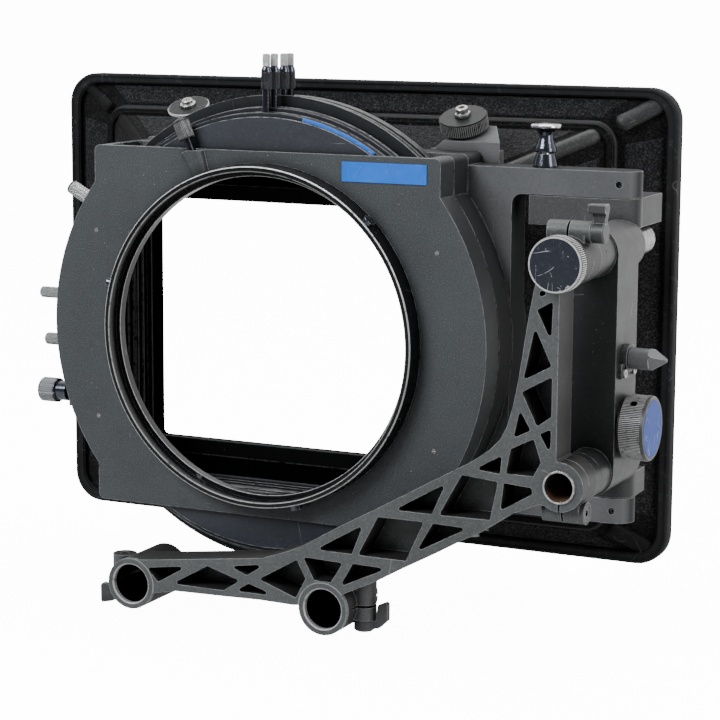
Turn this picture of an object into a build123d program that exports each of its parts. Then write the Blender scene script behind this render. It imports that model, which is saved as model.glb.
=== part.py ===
# Studio matte box on a swing-away bracket.
# Millimetres. Origin on the optical axis, at the lens-side face of the rear cover.
# +Y runs along the optical axis away from the camera, +X is to the right as the
# camera sees it, +Z is up. "Rear" is the camera side (low Y), "front" is high Y.
# In the code, side = -1 or 1 picks left / right, or lower / upper.
from build123d import *
import os
from math import sin, cos, radians, pi

# ---------------------------------------------------------------- driving sizes
FIT = 0.1                     # play between nested pieces
# bracket
ROD_R = 9.5                   # 19 mm support rods
ROD_X = 104.0 / 2             # half of the rod spacing
ROD_Z = -120.0                # rod plane below the optical axis
SLEEVE_Y1 = -3.5              # front end of the rod sleeves
SLEEVE_R = 12.5
CLAMP_X = ROD_X + 13.5        # rod clamp screws
CLAMP_Y = -21.0
CLAMP_R = 5.9                 # rod clamp barrels
CLAMP_Z0 = -126.8             # lower end of the rod clamp barrels
TRUSS_Y0, TRUSS_Y1 = -38.5, -20.5
TUBE_R = 7.5                  # 15 mm guide tubes
TUBE_X, TUBE_Z = 168.2, 50.0  # guide tubes at +/- TUBE_Z
TUBE_Y1 = 66.0                # front end of the guide tubes
UPPER_BORE, LOWER_BORE = 5.4, 6.6
TUBE_CLAMP_Y = (TRUSS_Y0 + TRUSS_Y1) / 2
TUBE_CLAMP_Z = TUBE_Z + 12.6
# carriage
CARRIAGE_R = 11.8             # carriage outline round each tube
CAM_Y, CAM_Z = 14.0, -30.6    # axis of the lock shaft
PLUNGER_Y, PLUNGER_Z = 13.0, 1.4
FLANGE_SCREWS = [(PLUNGER_Y - 6.5, PLUNGER_Z - 6.3), (PLUNGER_Y + 6.5, PLUNGER_Z - 6.3)]
# body
BODY_R = 117.0                # round outline of the matte box body
TAB_X, TAB_Z = 93.0, 89.3     # half sizes of its corner rectangle
COVER_T = 2.9
COVER_Y1 = 15.2
DIVIDER_Y1 = COVER_Y1 + 1.0
FRAME_Y0, FRAME_Y1 = 33.0, 50.6
FRAME_T = FRAME_Y1 - FRAME_Y0
AP_X, AP_Z, AP_R = 80.0, 79.0, 98.0        # clear aperture of the rotating stages
SLOT_X, SLOT_Z, SLOT_R = 86.3, 85.3, 101.5
TRAY_HALF_T = 2.0
WINDOW_X, WINDOW_Z = 84.0, 64.0            # half sizes of the frame window
RECESS_X, RECESS_Z, RECESS_R = 89.0, 69.0, 3.0
MASK_X, MASK_Z = 82.0, 61.3                # 4:3 mask window
# lens ring
RING_R = 83.5
RING_BORE, RING_STEP = 80.0, 77.6
RING_Y0 = -9.8
RING_SCREW_Y = -6.0
RING_CLAMP_Y = -1.2
RING_CLAMP_A = 113.0          # degrees from +X towards +Z
# yoke, hinge and latch
HINGE_X = 167.5
HINGE_Y = (FRAME_Y0 + FRAME_Y1) / 2
HINGE_R = FRAME_T / 2
ARM_Z0, ARM_Z1 = 71.7, 84.0
LOW_ARM_Z0, LOW_ARM_Z1 = -81.7, -69.7
YOKE_X = 115.4                # left wall of the yoke window
LATCH_X = 128.6
PIN_SCREW_X = 168.1
PIN_SCREW_Z = (77.9, -75.7)
# lock screws on the left of the frame
LOCK_Y = 22.0
LOCK_UPPER_Z, LOCK_LOWER_Z, LOCK_SIDE_Z = 10.4, -13.7, -40.5
RADIAL_A, RADIAL_Y = 152.0, 25.0
# hood
MOUNT_Y1 = 56.0
FUNNEL_Y0 = MOUNT_Y1 + 0.02
STEP_X, STEP_Z, STEP_Y = 141.5, 99.5, 97.0    # front end of the funnel
BRIM_X, BRIM_Z, BRIM_R = 168.0, 114.4, 13.0
HOOD_X, HOOD_Z, HOOD_Y1 = 173.0, 119.0, 112.0

os.makedirs("parts", exist_ok=True)


# ---------------------------------------------------------------- helpers
def save(name, shape):
    if isinstance(shape, list):
        shape = Compound(children=shape)
    export_step(shape, "parts/%s.step" % name)


def cyl_x(x0, x1, y, z, radius):
    return Pos((x0 + x1) / 2, y, z) * Rot(0, 90, 0) * Cylinder(radius, abs(x1 - x0))


def cyl_y(y0, y1, x, z, radius):
    return Pos(x, (y0 + y1) / 2, z) * Rot(90, 0, 0) * Cylinder(radius, abs(y1 - y0))


def cyl_z(z0, z1, x, y, radius):
    return Pos(x, y, (z0 + z1) / 2) * Cylinder(radius, abs(z1 - z0))


def disc_z(z, radius, height):
    """Cylinder on the Z axis, centred at height z."""
    return Pos(0, 0, z) * Cylinder(radius, height)


def tube_y(y0, y1, x, z, outer, bore):
    return cyl_y(y0, y1, x, z, outer) - cyl_y(y0 - 1, y1 + 1, x, z, bore)


def box(x0, x1, y0, y1, z0, z1):
    block = Box(abs(x1 - x0), abs(y1 - y0), abs(z1 - z0))
    return Pos((x0 + x1) / 2, (y0 + y1) / 2, (z0 + z1) / 2) * block


def poly(pts):
    """Polygon, wound counter-clockwise so that it extrudes the right way."""
    area = 0.0
    for i in range(len(pts)):
        x0, y0 = pts[i]
        x1, y1 = pts[(i + 1) % len(pts)]
        area += x0 * y1 - x1 * y0
    return Polygon(*(pts if area > 0 else reversed(pts)), align=None)


def round_poly(pts, radius):
    return fillet(poly(pts).vertices(), radius)


def rrect(half_x, half_z, radius):
    return fillet(Rectangle(2 * half_x, 2 * half_z).vertices(), radius)


def serrated(r_out, r_in, teeth):
    """Knurled outline with flat-topped teeth."""
    pts = []
    half = pi / teeth
    for i in range(teeth):
        a = 2 * pi * i / teeth
        pts += [(r_out * cos(a - 0.35 * half), r_out * sin(a - 0.35 * half)),
                (r_out * cos(a + 0.35 * half), r_out * sin(a + 0.35 * half)),
                (r_in * cos(a + half), r_in * sin(a + half))]
    return Polygon(*pts, align=None)


def prism_x(sketch, x0, x1):
    """Sweep a sketch drawn in Y and Z."""
    return extrude(Plane.YZ.offset(x0) * sketch, amount=x1 - x0)


def prism_y(sketch, y0, y1):
    """Sweep a sketch drawn in X and Z."""
    return extrude(Plane.XZ.offset(-y1) * sketch, amount=y1 - y0)


def prism_z(sketch, z0, z1):
    return extrude(Pos(0, 0, z0) * sketch, amount=z1 - z0)


def bevel(shape, axis, end, size):
    """Chamfer the circular edges at the low (0) or high (-1) end along an axis."""
    return chamfer(shape.edges().filter_by(GeomType.CIRCLE).group_by(axis)[end], size)


def radial(shape, angle, y):
    """Turn a shape modelled along +Z to a radial direction in the XZ plane."""
    return Rot(0, 90.0 - angle, 0) * Pos(0, y, 0) * shape


def coil(radius, wire, pitch, length):
    helix = Helix(pitch=pitch, height=length, radius=radius)
    section = Plane(origin=helix @ 0, z_dir=helix % 0) * Circle(wire)
    return sweep(section, path=helix)


# ================================================================ BRACKET (root)
# Truss outline, X and Z
TRUSS_OUTLINE = [
    (-50, -107.6), (-42.1, -106.9), (20.1, -99.0), (30.7, -95.3), (40.2, -91.4), (60.9, -79.1),
    (80.2, -68.5), (109.5, -51.8), (125.0, -43.1), (130.3, -39.6), (135.1, -36.0),
    (139.8, -31.2), (143.0, -25.1), (145.3, -17.2), (147.1, -9.4), (149.2, 3.3),
    (150.9, 14.6), (152.6, 25.8), (154.7, 37.0), (157.2, 48.0), (168.2, 58.0), (170.0, 50.0),
    (166.6, 37.0), (166.6, -38.0), (176.0, -48.0), (166.0, -60.0),
    (159.3, -58.6), (147.1, -63.8), (140.4, -68.1), (130.8, -74.7), (122.6, -78.9),
    (109.9, -86.3), (91.5, -96.4), (79.0, -103.6), (62.1, -111.6), (52, -118),
    (36.5, -119.8), (19.0, -119.5), (-1.5, -120.1), (-26.7, -120.7), (-52, -126),
]
# Pockets between the ribs, X and Z
TRUSS_POCKETS = [
    [(-42.6, -110.9), (-20.0, -107.6), (-36.6, -117.3)],
    [(-28.6, -117.2), (-9.3, -106.2), (8.4, -111.4), (-0.6, -117.2)],
    [(2.4, -104.9), (21.7, -102.0), (12.1, -108.2)],
    [(18.5, -109.4), (38.6, -97.6), (43.2, -106.4), (38.0, -116.1)],
    [(5.6, -116.7), (13.1, -112.2), (27.5, -116.5)],
    [(41.8, -96.0), (62.5, -96.5), (56.2, -106.6), (47.6, -106.4)],
    [(48.5, -91.6), (72.7, -77.3), (67.1, -91.7)],
    [(80.3, -72.7), (103.3, -72.6), (94.5, -91.8), (70.2, -91.8)],
    [(60.9, -108.0), (67.7, -96.2), (85.0, -96.6)],
    [(88.3, -68.6), (113.9, -53.6), (107.2, -68.5)],
    [(121.7, -48.9), (139.2, -50.4), (135.6, -68.2), (110.7, -68.6)],
    [(99.5, -87.0), (107.8, -72.8), (125.0, -73.2)],
    [(128.0, -45.6), (140.9, -38.2), (140.1, -46.7)],
    [(145.1, -34.8), (155.9, -29.3), (159.4, -39.6), (156.0, -46.2), (142.9, -46.2)],
    [(142.0, -50.6), (155.4, -51.6), (155.6, -54.4), (140.5, -63.4)],
    [(146.2, -29.8), (149.1, -16.8), (154.3, -25.6)],
    [(149.9, -8.7), (164.0, -0.8), (164.0, -18.7), (157.3, -23.6)],
    [(158.7, -26.8), (164.0, -24.2), (163.6, -35.6)],
    [(150.4, -3.3), (155.5, 20.6), (163.6, 3.8)],
    [(156.3, 28.3), (163.8, 32.6), (163.2, 14.8)],
    [(156.8, 33.6), (158.0, 37.2), (161.7, 36.0)],
]
# side, top of the clamp barrel, top of its screw hole
ROD_CLAMPS = [(-1, -110.0, -109.0), (1, -104.0, -108.0)]


def truss_bracket():
    truss = prism_y(poly(TRUSS_OUTLINE), TRUSS_Y0, TRUSS_Y1)
    # rod sleeves with their clamp barrels
    for side, barrel_top, _ in ROD_CLAMPS:
        x = side * CLAMP_X
        truss += cyl_y(TRUSS_Y0, SLEEVE_Y1, side * ROD_X, ROD_Z, SLEEVE_R)
        truss += cyl_z(CLAMP_Z0, barrel_top, x, CLAMP_Y, CLAMP_R)
        truss += box(side * ROD_X, x, CLAMP_Y - CLAMP_R, CLAMP_Y + CLAMP_R, CLAMP_Z0, -112.0)
    # guide tube bosses with their clamp barrels
    for side in (-1, 1):
        z = side * TUBE_CLAMP_Z
        truss += cyl_y(TRUSS_Y0, TRUSS_Y1, TUBE_X, side * TUBE_Z, 11.3)
        truss += cyl_x(158.4, 178.4, TUBE_CLAMP_Y, z, 5.0)
        truss += box(160.5, 176.0, TUBE_CLAMP_Y - 5, TUBE_CLAMP_Y + 5, side * TUBE_Z, z)
    # the pockets open to the rear and leave a 2 mm web at the front
    for pocket in TRUSS_POCKETS:
        truss -= prism_y(round_poly(pocket, 0.9), TRUSS_Y0 - 1, TRUSS_Y1 - 2.0)
    # rod bores, slits, and clamp screw and nut seats
    for side, _, hole_top in ROD_CLAMPS:
        rod_x, x = side * ROD_X, side * CLAMP_X
        truss -= cyl_y(TRUSS_Y0 - 1, SLEEVE_Y1 + 1, rod_x, ROD_Z, ROD_R)
        lead_in = Cone(ROD_R - 0.2, ROD_R + 1.2, 1.4)
        truss -= Pos(rod_x, TRUSS_Y0, ROD_Z) * Rot(90, 0, 0) * lead_in
        truss -= box(side * (ROD_X + 5), side * (ROD_X + 22), -32.0, SLEEVE_Y1 + 1,
                     ROD_Z - 0.6, ROD_Z + 0.6)
        truss -= cyl_z(-140, CLAMP_Z0, x, CLAMP_Y, 5.5)
        truss -= cyl_z(-127.5, -112.6, x, CLAMP_Y, 3.05)
        truss -= prism_z(Pos(x, CLAMP_Y) * RegularPolygon(4.0, 6), -116.6, -112.5)
        truss -= cyl_z(-113, hole_top, x, CLAMP_Y, 2.2)
    # tube bores, slits and clamp screw holes
    for side in (-1, 1):
        truss -= cyl_y(TRUSS_Y0 - 1, TRUSS_Y1 + 1, TUBE_X, side * TUBE_Z, TUBE_R + 0.03)
        truss -= box(TUBE_X - 0.5, TUBE_X + 0.5, TRUSS_Y0 - 1, TRUSS_Y1 + 1,
                     side * (TUBE_Z + 5), side * (TUBE_Z + 20))
        truss -= cyl_x(162.4, 180.0, TUBE_CLAMP_Y, side * TUBE_CLAMP_Z, 2.05)
    # counterbore for the lower clamp screw head
    truss -= cyl_x(174.4, 180.0, TUBE_CLAMP_Y, -TUBE_CLAMP_Z, 3.6)
    # shallow groove on the right of the tube bosses
    for side in (-1, 1):
        groove = tube_y(-31.2, -30.6, TUBE_X, side * TUBE_Z, 13.0, 10.9)
        groove &= box(TUBE_X, 190, -32, -30, -52.0, 50.0)
        truss -= groove
    return truss


def upper_guide_tube():
    tube = tube_y(-38.0, TUBE_Y1, TUBE_X, TUBE_Z, TUBE_R, UPPER_BORE)
    # only the outer edge of the front end is chamfered
    front = tube.edges().filter_by(GeomType.CIRCLE).group_by(Axis.Y)[-1]
    return chamfer(front.sort_by(SortBy.LENGTH)[-1], 0.9)


save("truss_bracket", truss_bracket())
save("upper_guide_tube", upper_guide_tube())
save("lower_guide_tube", tube_y(-39.3, TUBE_Y1, TUBE_X, -TUBE_Z, TUBE_R, LOWER_BORE))

# Lever wings: distance outwards from the screw axis, and Z
WING_LEFT = [(0, -132.2), (7.2, -135.2), (12.6, -136.4), (13.4, -135.4), (13.4, -127.4),
             (12.4, -126.4), (8.0, -127.0), (0, -127.4)]
WING_RIGHT = [(0, -132.2), (8.2, -130.6), (12.6, -126.4), (12.6, -118.6), (11.6, -117.6),
              (7.6, -119.4), (6.9, -124.6), (6.5, -127.2), (0, -127.2)]


def rod_clamp_lever(side, wing_pts):
    x = side * CLAMP_X
    stud = cyl_z(-127.4, -112.9, x, CLAMP_Y, 2.95)
    hub = bevel(cyl_z(-132.6, -127.0, x, CLAMP_Y, 4.9), Axis.Z, 0, 0.8)
    outline = round_poly([(side * out, z) for out, z in wing_pts], 0.35)
    wing = Pos(x, 0, 0) * prism_y(outline, CLAMP_Y - 1.5, CLAMP_Y + 1.5)
    return stud + hub + wing


def rod_clamp_nut(x):
    nut = prism_z(Pos(x, CLAMP_Y) * RegularPolygon(3.9, 6), -116.4, -112.9)
    return nut - cyl_z(-120, -110, x, CLAMP_Y, 3.0)


save("rod_clamp_lever_left", rod_clamp_lever(-1, WING_LEFT))
save("rod_clamp_lever_right", rod_clamp_lever(1, WING_RIGHT))
save("rod_clamp_nuts", [rod_clamp_nut(side * CLAMP_X) for side in (-1, 1)])

# Wing of the upper tube clamp lever, X and Z
UPPER_WING = [(179.0, 62.6), (178.6, 69.2), (177.2, 75.0), (184.6, 75.4), (185.2, 73.6),
              (184.2, 67.2), (184.2, 62.6)]


def upper_clamp_lever():
    screw = cyl_x(163.0, 179.0, TUBE_CLAMP_Y, TUBE_CLAMP_Z, 1.98)
    hub = bevel(cyl_x(178.6, 184.4, TUBE_CLAMP_Y, TUBE_CLAMP_Z, 4.6), Axis.X, -1, 0.6)
    wing = prism_y(round_poly(UPPER_WING, 0.4), TUBE_CLAMP_Y - 1.7, TUBE_CLAMP_Y + 1.7)
    tip = box(177.0, 185.0, -33.4, -27.8, 71.2, 75.2)
    tip = fillet(tip.edges().filter_by(Axis.X), 0.7)
    return screw + hub + wing + tip


def lower_clamp_screw():
    screw = cyl_x(163.0, 174.5, TUBE_CLAMP_Y, -TUBE_CLAMP_Z, 1.98)
    screw += cyl_x(174.5, 178.2, TUBE_CLAMP_Y, -TUBE_CLAMP_Z, 3.4)
    socket = Pos(TUBE_CLAMP_Y, -TUBE_CLAMP_Z) * RegularPolygon(1.7, 6)
    return screw - prism_x(socket, 176.0, 179.0)


save("upper_clamp_lever", upper_clamp_lever())
save("lower_clamp_screw", lower_clamp_screw())

# knurled knob at the rear end of the upper tube, with its cap and draw bar
KNOB_Y0, KNOB_Y1 = -49.4, -42.2


def on_upper_tube(y0, y1, radius):
    return cyl_y(y0, y1, TUBE_X, TUBE_Z, radius)


def tube_lock_knob():
    knurl = Pos(TUBE_X, TUBE_Z) * serrated(12.5, 12.0, 84)
    knob = prism_y(knurl, KNOB_Y0 + 1.0, KNOB_Y1 - 0.6)
    knob += on_upper_tube(KNOB_Y0, KNOB_Y0 + 1.0, 12.2)
    knob += on_upper_tube(KNOB_Y1 - 0.6, KNOB_Y1, 11.9)
    knob += on_upper_tube(KNOB_Y1, -38.7, 9.4)
    knob -= on_upper_tube(KNOB_Y0 - 1, KNOB_Y0 + 0.5, 11.5)
    knob -= on_upper_tube(KNOB_Y0 + 3.0, -38, 3.0)
    return knob


def tube_draw_bar():
    bar = on_upper_tube(KNOB_Y0 + 3.02, 60.0, 2.95)
    bar += on_upper_tube(58.0, 65.0, 5.33)
    return bar - on_upper_tube(63.0, 67.0, 3.4)


save("tube_lock_knob", tube_lock_knob())
save("tube_lock_knob_cap", on_upper_tube(KNOB_Y0 - 0.1, KNOB_Y0 + 0.48, 11.45))
save("tube_draw_bar", tube_draw_bar())


# ================================================================ CARRIAGE
def hinge_block(x0, z0, z1, web):
    """Block between the yoke arms: bar from x0, hinge eye and a web given in X and Y."""
    plan = Pos((x0 + HINGE_X) / 2, HINGE_Y) * Rectangle(HINGE_X - x0, FRAME_T)
    plan += Pos(HINGE_X, HINGE_Y) * Circle(HINGE_R)
    plan += poly(web)
    return prism_z(plan, z0, z1)


def link_carriage():
    outline = Rectangle(2 * CARRIAGE_R, 2 * TUBE_Z) + Pos(0, TUBE_Z) * Circle(CARRIAGE_R)
    outline = Pos(TUBE_X, 0) * (outline + Pos(0, -TUBE_Z) * Circle(CARRIAGE_R))
    link = prism_y(outline, 0.0, 28.0)
    for side in (-1, 1):
        link += cyl_y(0.0, 38.0, TUBE_X, side * TUBE_Z, CARRIAGE_R)
        link += cyl_y(-20.2, 0.0, TUBE_X, side * TUBE_Z, 10.9)
    link += hinge_block(124, 57.7, ARM_Z0 - 0.35,
                        [(150, 42), (175.6, 42), (175.6, 74), (152, 74)])
    link += hinge_block(150, LOW_ARM_Z1 + 0.35, -57.7,
                        [(158, 42), (176.3, 42), (176.3, 56), (160, 56)])
    for side in (1, -1):
        link += box(157.0, 176.4, 30.0, 38.0, side * TUBE_Z, side * 57.9)
    # liner seats, tube clearance and a thin groove round the rear sleeves
    for side in (-1, 1):
        z = side * TUBE_Z
        link -= cyl_y(-21, 40, TUBE_X, z, TUBE_R + 1.5)
        link -= cyl_y(-22, 80, TUBE_X, z, TUBE_R + 0.15)
        link -= tube_y(-13.3, -12.7, TUBE_X, z, 12.0, 10.4)
    # hinge bush seats
    for side in (1, -1):
        link -= cyl_z(side * 60.4, side * 72.0, HINGE_X, HINGE_Y, 5.5)
    # hole under the latch pin
    link -= cyl_z(62.0, 72.0, LATCH_X, HINGE_Y, 2.6)
    # lock cam cavity and shaft bore
    link -= cyl_x(162.0, 174.0, CAM_Y, CAM_Z, 11.4)
    link -= cyl_x(157.5, 181.0, CAM_Y, CAM_Z, 4.0)
    # plunger spring pocket, pin bore and flange screw holes
    link -= cyl_x(168.0, 181.0, PLUNGER_Y, PLUNGER_Z, 3.6)
    link -= cyl_x(156.0, 170.0, PLUNGER_Y, PLUNGER_Z, 2.1)
    for y, z in FLANGE_SCREWS:
        link -= cyl_x(174.0, 181.0, y, z, 1.25)
    return link


def guide_liners():
    """Plain bearing liners, one at each end of both carriage bores."""
    return [tube_y(y0, y1, TUBE_X, side * TUBE_Z, TUBE_R + 1.45, TUBE_R + 0.05)
            for side in (-1, 1) for y0, y1 in ((-19.6, -6.0), (24.0, 37.4))]


def hinge_bush(side, arm_face):
    """Hinge bush with its thrust washer just clear of the yoke arm."""
    end = arm_face - side * 0.4
    outer = arm_face - side * 0.04
    bush = cyl_z(side * 60.5, end, HINGE_X, HINGE_Y, 5.45)
    bush += cyl_z(end, outer, HINGE_X, HINGE_Y, 5.45)
    bush += cyl_z(arm_face - side * 0.33, outer, HINGE_X, HINGE_Y, 7.6)
    return bush - cyl_z(side * 59.5, end + side, HINGE_X, HINGE_Y, 4.05)


save("link_carriage", link_carriage())
save("guide_liners", guide_liners())
save("hinge_bushes", [hinge_bush(1, ARM_Z0), hinge_bush(-1, LOW_ARM_Z1)])

# carriage lock: large knurled knob on a shaft with an eccentric
LOCK_X0, LOCK_X1 = 181.2, 193.4


def on_cam_axis(x0, x1, radius):
    return cyl_x(x0, x1, CAM_Y, CAM_Z, radius)


def carriage_lock_knob():
    knurl = Pos(CAM_Y, CAM_Z) * serrated(15.1, 14.6, 108)
    knob = prism_x(knurl, LOCK_X0 + 0.8, LOCK_X1 - 1.4)
    knob += on_cam_axis(LOCK_X1 - 1.4, LOCK_X1, 14.9)
    knob += on_cam_axis(LOCK_X0, LOCK_X0 + 0.8, 14.6)
    knob = bevel(knob, Axis.X, -1, 0.5)
    knob -= on_cam_axis(LOCK_X1 - 0.5, LOCK_X1 + 1, 13.2)
    knob -= on_cam_axis(LOCK_X0 - 1, LOCK_X0 + 8.0, 3.95)
    # slanting cross hole through the rim
    cross = Plane(origin=(187.0, CAM_Y, CAM_Z), z_dir=(0, -0.55, 0.83))
    return knob - cross.location * disc_z(9, 1.7, 14)


def lock_cam_shaft():
    shaft = on_cam_axis(157.6, LOCK_X0 + 7.9, 3.94)
    return shaft + cyl_x(163.0, 173.0, CAM_Y - 2.2, CAM_Z, 8.8)


save("carriage_lock_knob", carriage_lock_knob())
save("carriage_lock_knob_disc", on_cam_axis(LOCK_X1 - 0.48, LOCK_X1 + 0.1, 13.1))
save("lock_cam_shaft", lock_cam_shaft())

# index plunger
PLUNGER_FACE_X = 180.02    # left face of the flange, on the carriage


def on_plunger(x0, x1, radius):
    return cyl_x(x0, x1, PLUNGER_Y, PLUNGER_Z, radius)


def plunger_flange():
    flange = on_plunger(PLUNGER_FACE_X, 182.6, 6.4)
    ears = Pos(PLUNGER_Y, PLUNGER_Z - 5.4) * rrect(9.2, 3.5, 2.0)
    flange += prism_x(ears, PLUNGER_FACE_X, 181.4)
    flange -= on_plunger(179, 184, 2.15)
    for y, z in FLANGE_SCREWS:
        flange -= cyl_x(179, 184, y, z, 1.3)
    return flange


def plunger_cap():
    """Round pull cap with a four-sided tapered end."""
    cap = on_plunger(182.8, 192.2, 4.9)
    square = Pos(PLUNGER_Y, PLUNGER_Z) * Rot(0, 0, 24) * Rectangle(8.4, 8.4)
    facets = extrude(Plane.YZ.offset(192.0) * square, amount=7.8, taper=25)
    cap += facets & on_plunger(192.0, 200.0, 4.9)
    return cap - on_plunger(182, 188.4, 2.08)


def flange_screw(y, z):
    screw = cyl_x(175.0, 181.45, y, z, 1.2) + cyl_x(181.45, 182.7, y, z, 2.1)
    return screw - prism_x(Pos(y, z) * RegularPolygon(1.0, 6), 182.0, 183.0)


save("plunger_flange", plunger_flange())
save("plunger_cap", plunger_cap())
save("plunger_pin", on_plunger(157.0, 188.3, 2.04) + on_plunger(170.2, 171.4, 3.5))
save("plunger_spring",
     Pos(171.7, PLUNGER_Y, PLUNGER_Z) * Rot(0, 90, 0) * coil(2.85, 0.3, 1.9, 7.9))
save("plunger_flange_screws", [flange_screw(y, z) for y, z in FLANGE_SCREWS])


# ================================================================ MATTE BOX BODY
def tab_outline(inset=0.0):
    """Round body outline, cut flat above and below, with rectangular corners."""
    outline = Circle(BODY_R - inset) & Rectangle(260, 2 * (TAB_Z - inset))
    return outline + rrect(TAB_X - inset, TAB_Z - inset, 3.0)


def aperture():
    return Rectangle(2 * AP_X, 2 * AP_Z) & Circle(AP_R)


def cut_tray_openings(shape, y0, y1, z0):
    """Open the top wall (from z0 up) and the bottom wall for the filter trays."""
    half = SLOT_X + 0.3
    shape -= box(-half, half, y0, y1, z0, 95)
    return shape - box(-half, half, y0, y1, -95, -86)


COVER_SCREWS = [(91.6, 45.7), (91.2, -48.0), (-92.7, 46.8), (-92.7, -46.8)]    # X, Z


def rear_cover():
    cover = prism_y(tab_outline(), 0.0, COVER_Y1)
    cover -= cyl_y(COVER_T, COVER_Y1 + 1, 0, 0, 110.4)
    cover -= cyl_y(-1, COVER_T + 1, 0, 0, RING_R - 3.4)
    cover -= cyl_y(-1, 1.5, 0, 0, RING_R + 0.05)
    cover = cut_tray_openings(cover, COVER_T, COVER_Y1 + 1, 50)
    for x, z in COVER_SCREWS:
        cover -= cyl_y(-1, 2.0, x, z, 0.95)
    # tapered boss that guides the ring clamp screw to the ring
    z0, z1 = 83.7, 96.4
    lug = Pos(0, 0, (z0 + z1) / 2) * Cone(4.2, 6.2, z1 - z0)
    cover += radial(lug, RING_CLAMP_A, 0.6) & box(-100, 0, -10, COVER_T - 0.1, 50, 88.6)
    cover -= radial(disc_z(91.0, 1.6, 20.0), RING_CLAMP_A, RING_CLAMP_Y)
    cover -= radial(disc_z(97.2, 2.0, 6.0), RING_CLAMP_A, RING_CLAMP_Y)
    return cover


save("rear_cover", rear_cover())
save("cover_screws", [cyl_y(-0.08, 1.95, x, z, 0.9) - (Pos(x, -0.1, z) * Box(2.0, 0.4, 0.3))
                      for x, z in COVER_SCREWS])

# lens-side ring section, Y and radius
RING_SECTION = [
    (RING_Y0, 82.4), (RING_Y0 + 0.5, 82.8), (1.45, RING_R), (1.45, RING_STEP),
    (-3.0, RING_STEP), (-3.0, RING_BORE), (RING_Y0 + 0.6, RING_BORE), (RING_Y0, RING_BORE + 0.6),
]
RING_SCREW_ANGLES = (45.0, 165.0, 285.0)


def lens_ring():
    ring = revolve(Plane.YZ * poly(RING_SECTION), axis=Axis.Y)
    for angle in RING_SCREW_ANGLES:
        ring -= radial(disc_z(82, 1.55, 12), angle, RING_SCREW_Y)
        ring -= radial(disc_z(88.8, 3.2, 12), angle, RING_SCREW_Y)
    return ring - radial(disc_z(84.6, 1.6, 4.0), RING_CLAMP_A, RING_CLAMP_Y)


def ring_screw(angle):
    screw = disc_z(81.5, 1.5, 2.8) + disc_z(83.9, 3.1, 2.1)
    screw -= Pos(0, 0, 85.0) * Box(6.4, 0.7, 1.2)
    return radial(screw, angle, RING_SCREW_Y)


def ring_clamp_screw():
    screw = disc_z(91.2, 1.5, 15.4) + disc_z(98.3, 1.9, 7.6)
    screw += prism_z(serrated(3.9, 3.55, 28), 102.0, 111.0)
    screw += disc_z(111.2, 3.5, 0.5)
    return radial(screw, RING_CLAMP_A, RING_CLAMP_Y)


save("lens_ring", lens_ring())
save("ring_screws", [ring_screw(angle) for angle in RING_SCREW_ANGLES])
save("ring_clamp_screw", ring_clamp_screw())
save("divider_plate", prism_y(tab_outline(1.2), COVER_Y1 + 0.02, DIVIDER_Y1 - 0.02)
     - prism_y(aperture(), 0, 40))

# Filter trays and their handles: X, Y, tray top, grip bottom Z, grip top Z
TRAYS = [
    (-0.6, 6.3, 107.4, 118.6, 126.4),
    (1.0, 11.5, 109.6, 118.6, 126.4),
    (1.7, 20.1, 114.6, 118.2, 126.2),
    (2.4, 25.3, 114.6, 118.2, 126.2),
]


def stage_disc(steps, trays):
    """Rotating stage: steps of (rear Y, front Y, radius), slotted for its trays."""
    disc = None
    for y0, y1, radius in steps:
        step = cyl_y(y0, y1, 0, 0, radius)
        disc = step if disc is None else disc + step
    disc -= prism_y(aperture(), steps[0][0] - 1, steps[-1][1] + 1)
    for tray in trays:
        slot = Rectangle(2 * SLOT_X, 2 * SLOT_Z) & Circle(SLOT_R)
        slot += Pos(0, 80) * Rectangle(2 * SLOT_X, 160)
        half_t = TRAY_HALF_T + FIT
        disc -= prism_y(slot, tray[1] - half_t, tray[1] + half_t)
    return disc


def filter_tray(x, y, top):
    half_x = SLOT_X - FIT
    outline = Rectangle(2 * half_x, 2 * (SLOT_Z - FIT)) & Circle(SLOT_R - FIT)
    outline += (Pos(0, 80) * Rectangle(2 * half_x, 160)) & Circle(top)
    outline -= aperture()
    tray = prism_y(outline, y - TRAY_HALF_T, y + TRAY_HALF_T)
    # rebate that takes the filter glass
    rebate = Rectangle(2 * AP_X + 4, 2 * AP_Z + 4) & Circle(AP_R + 1.6)
    tray -= prism_y(rebate, y - 1.0, y + 2.1)
    return tray - cyl_z(top - 7.0, top + 2, x, y, 1.32)


def tray_handle(x, y, top, grip_z0, grip_z1):
    handle = cyl_z(top - 6.0, top + 0.5, x, y, 1.3)
    handle += cyl_z(top, grip_z0, x, y, 1.95)
    handle += prism_z(Pos(x, y) * serrated(2.58, 2.42, 26), grip_z0, grip_z1)
    tip = Pos(x, y, grip_z1 + 1.24) * Cone(2.5, 1.72, 2.5)
    tip += cyl_z(grip_z1 + 2.3, grip_z1 + 8.7, x, y, 1.72)
    return handle + bevel(tip, Axis.Z, -1, 0.35)


save("stage_disc_rear",
     stage_disc([(3.0, 5.0, 105.5), (5.0, 9.4, 107.7), (9.4, 14.8, 110.0)], TRAYS[:2]))
save("stage_disc_front", stage_disc([(16.5, 18.0, 115.4), (18.0, 31.6, 114.8)], TRAYS[2:]))
save("stage_slip_ring", tube_y(31.7, 32.9, 0, 0, 110.0, 100.0))
for i, tray_row in enumerate(TRAYS, 1):
    save("filter_tray_%d" % i, filter_tray(*tray_row[:3]))
    save("tray_handle_%d" % i, tray_handle(*tray_row))


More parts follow.
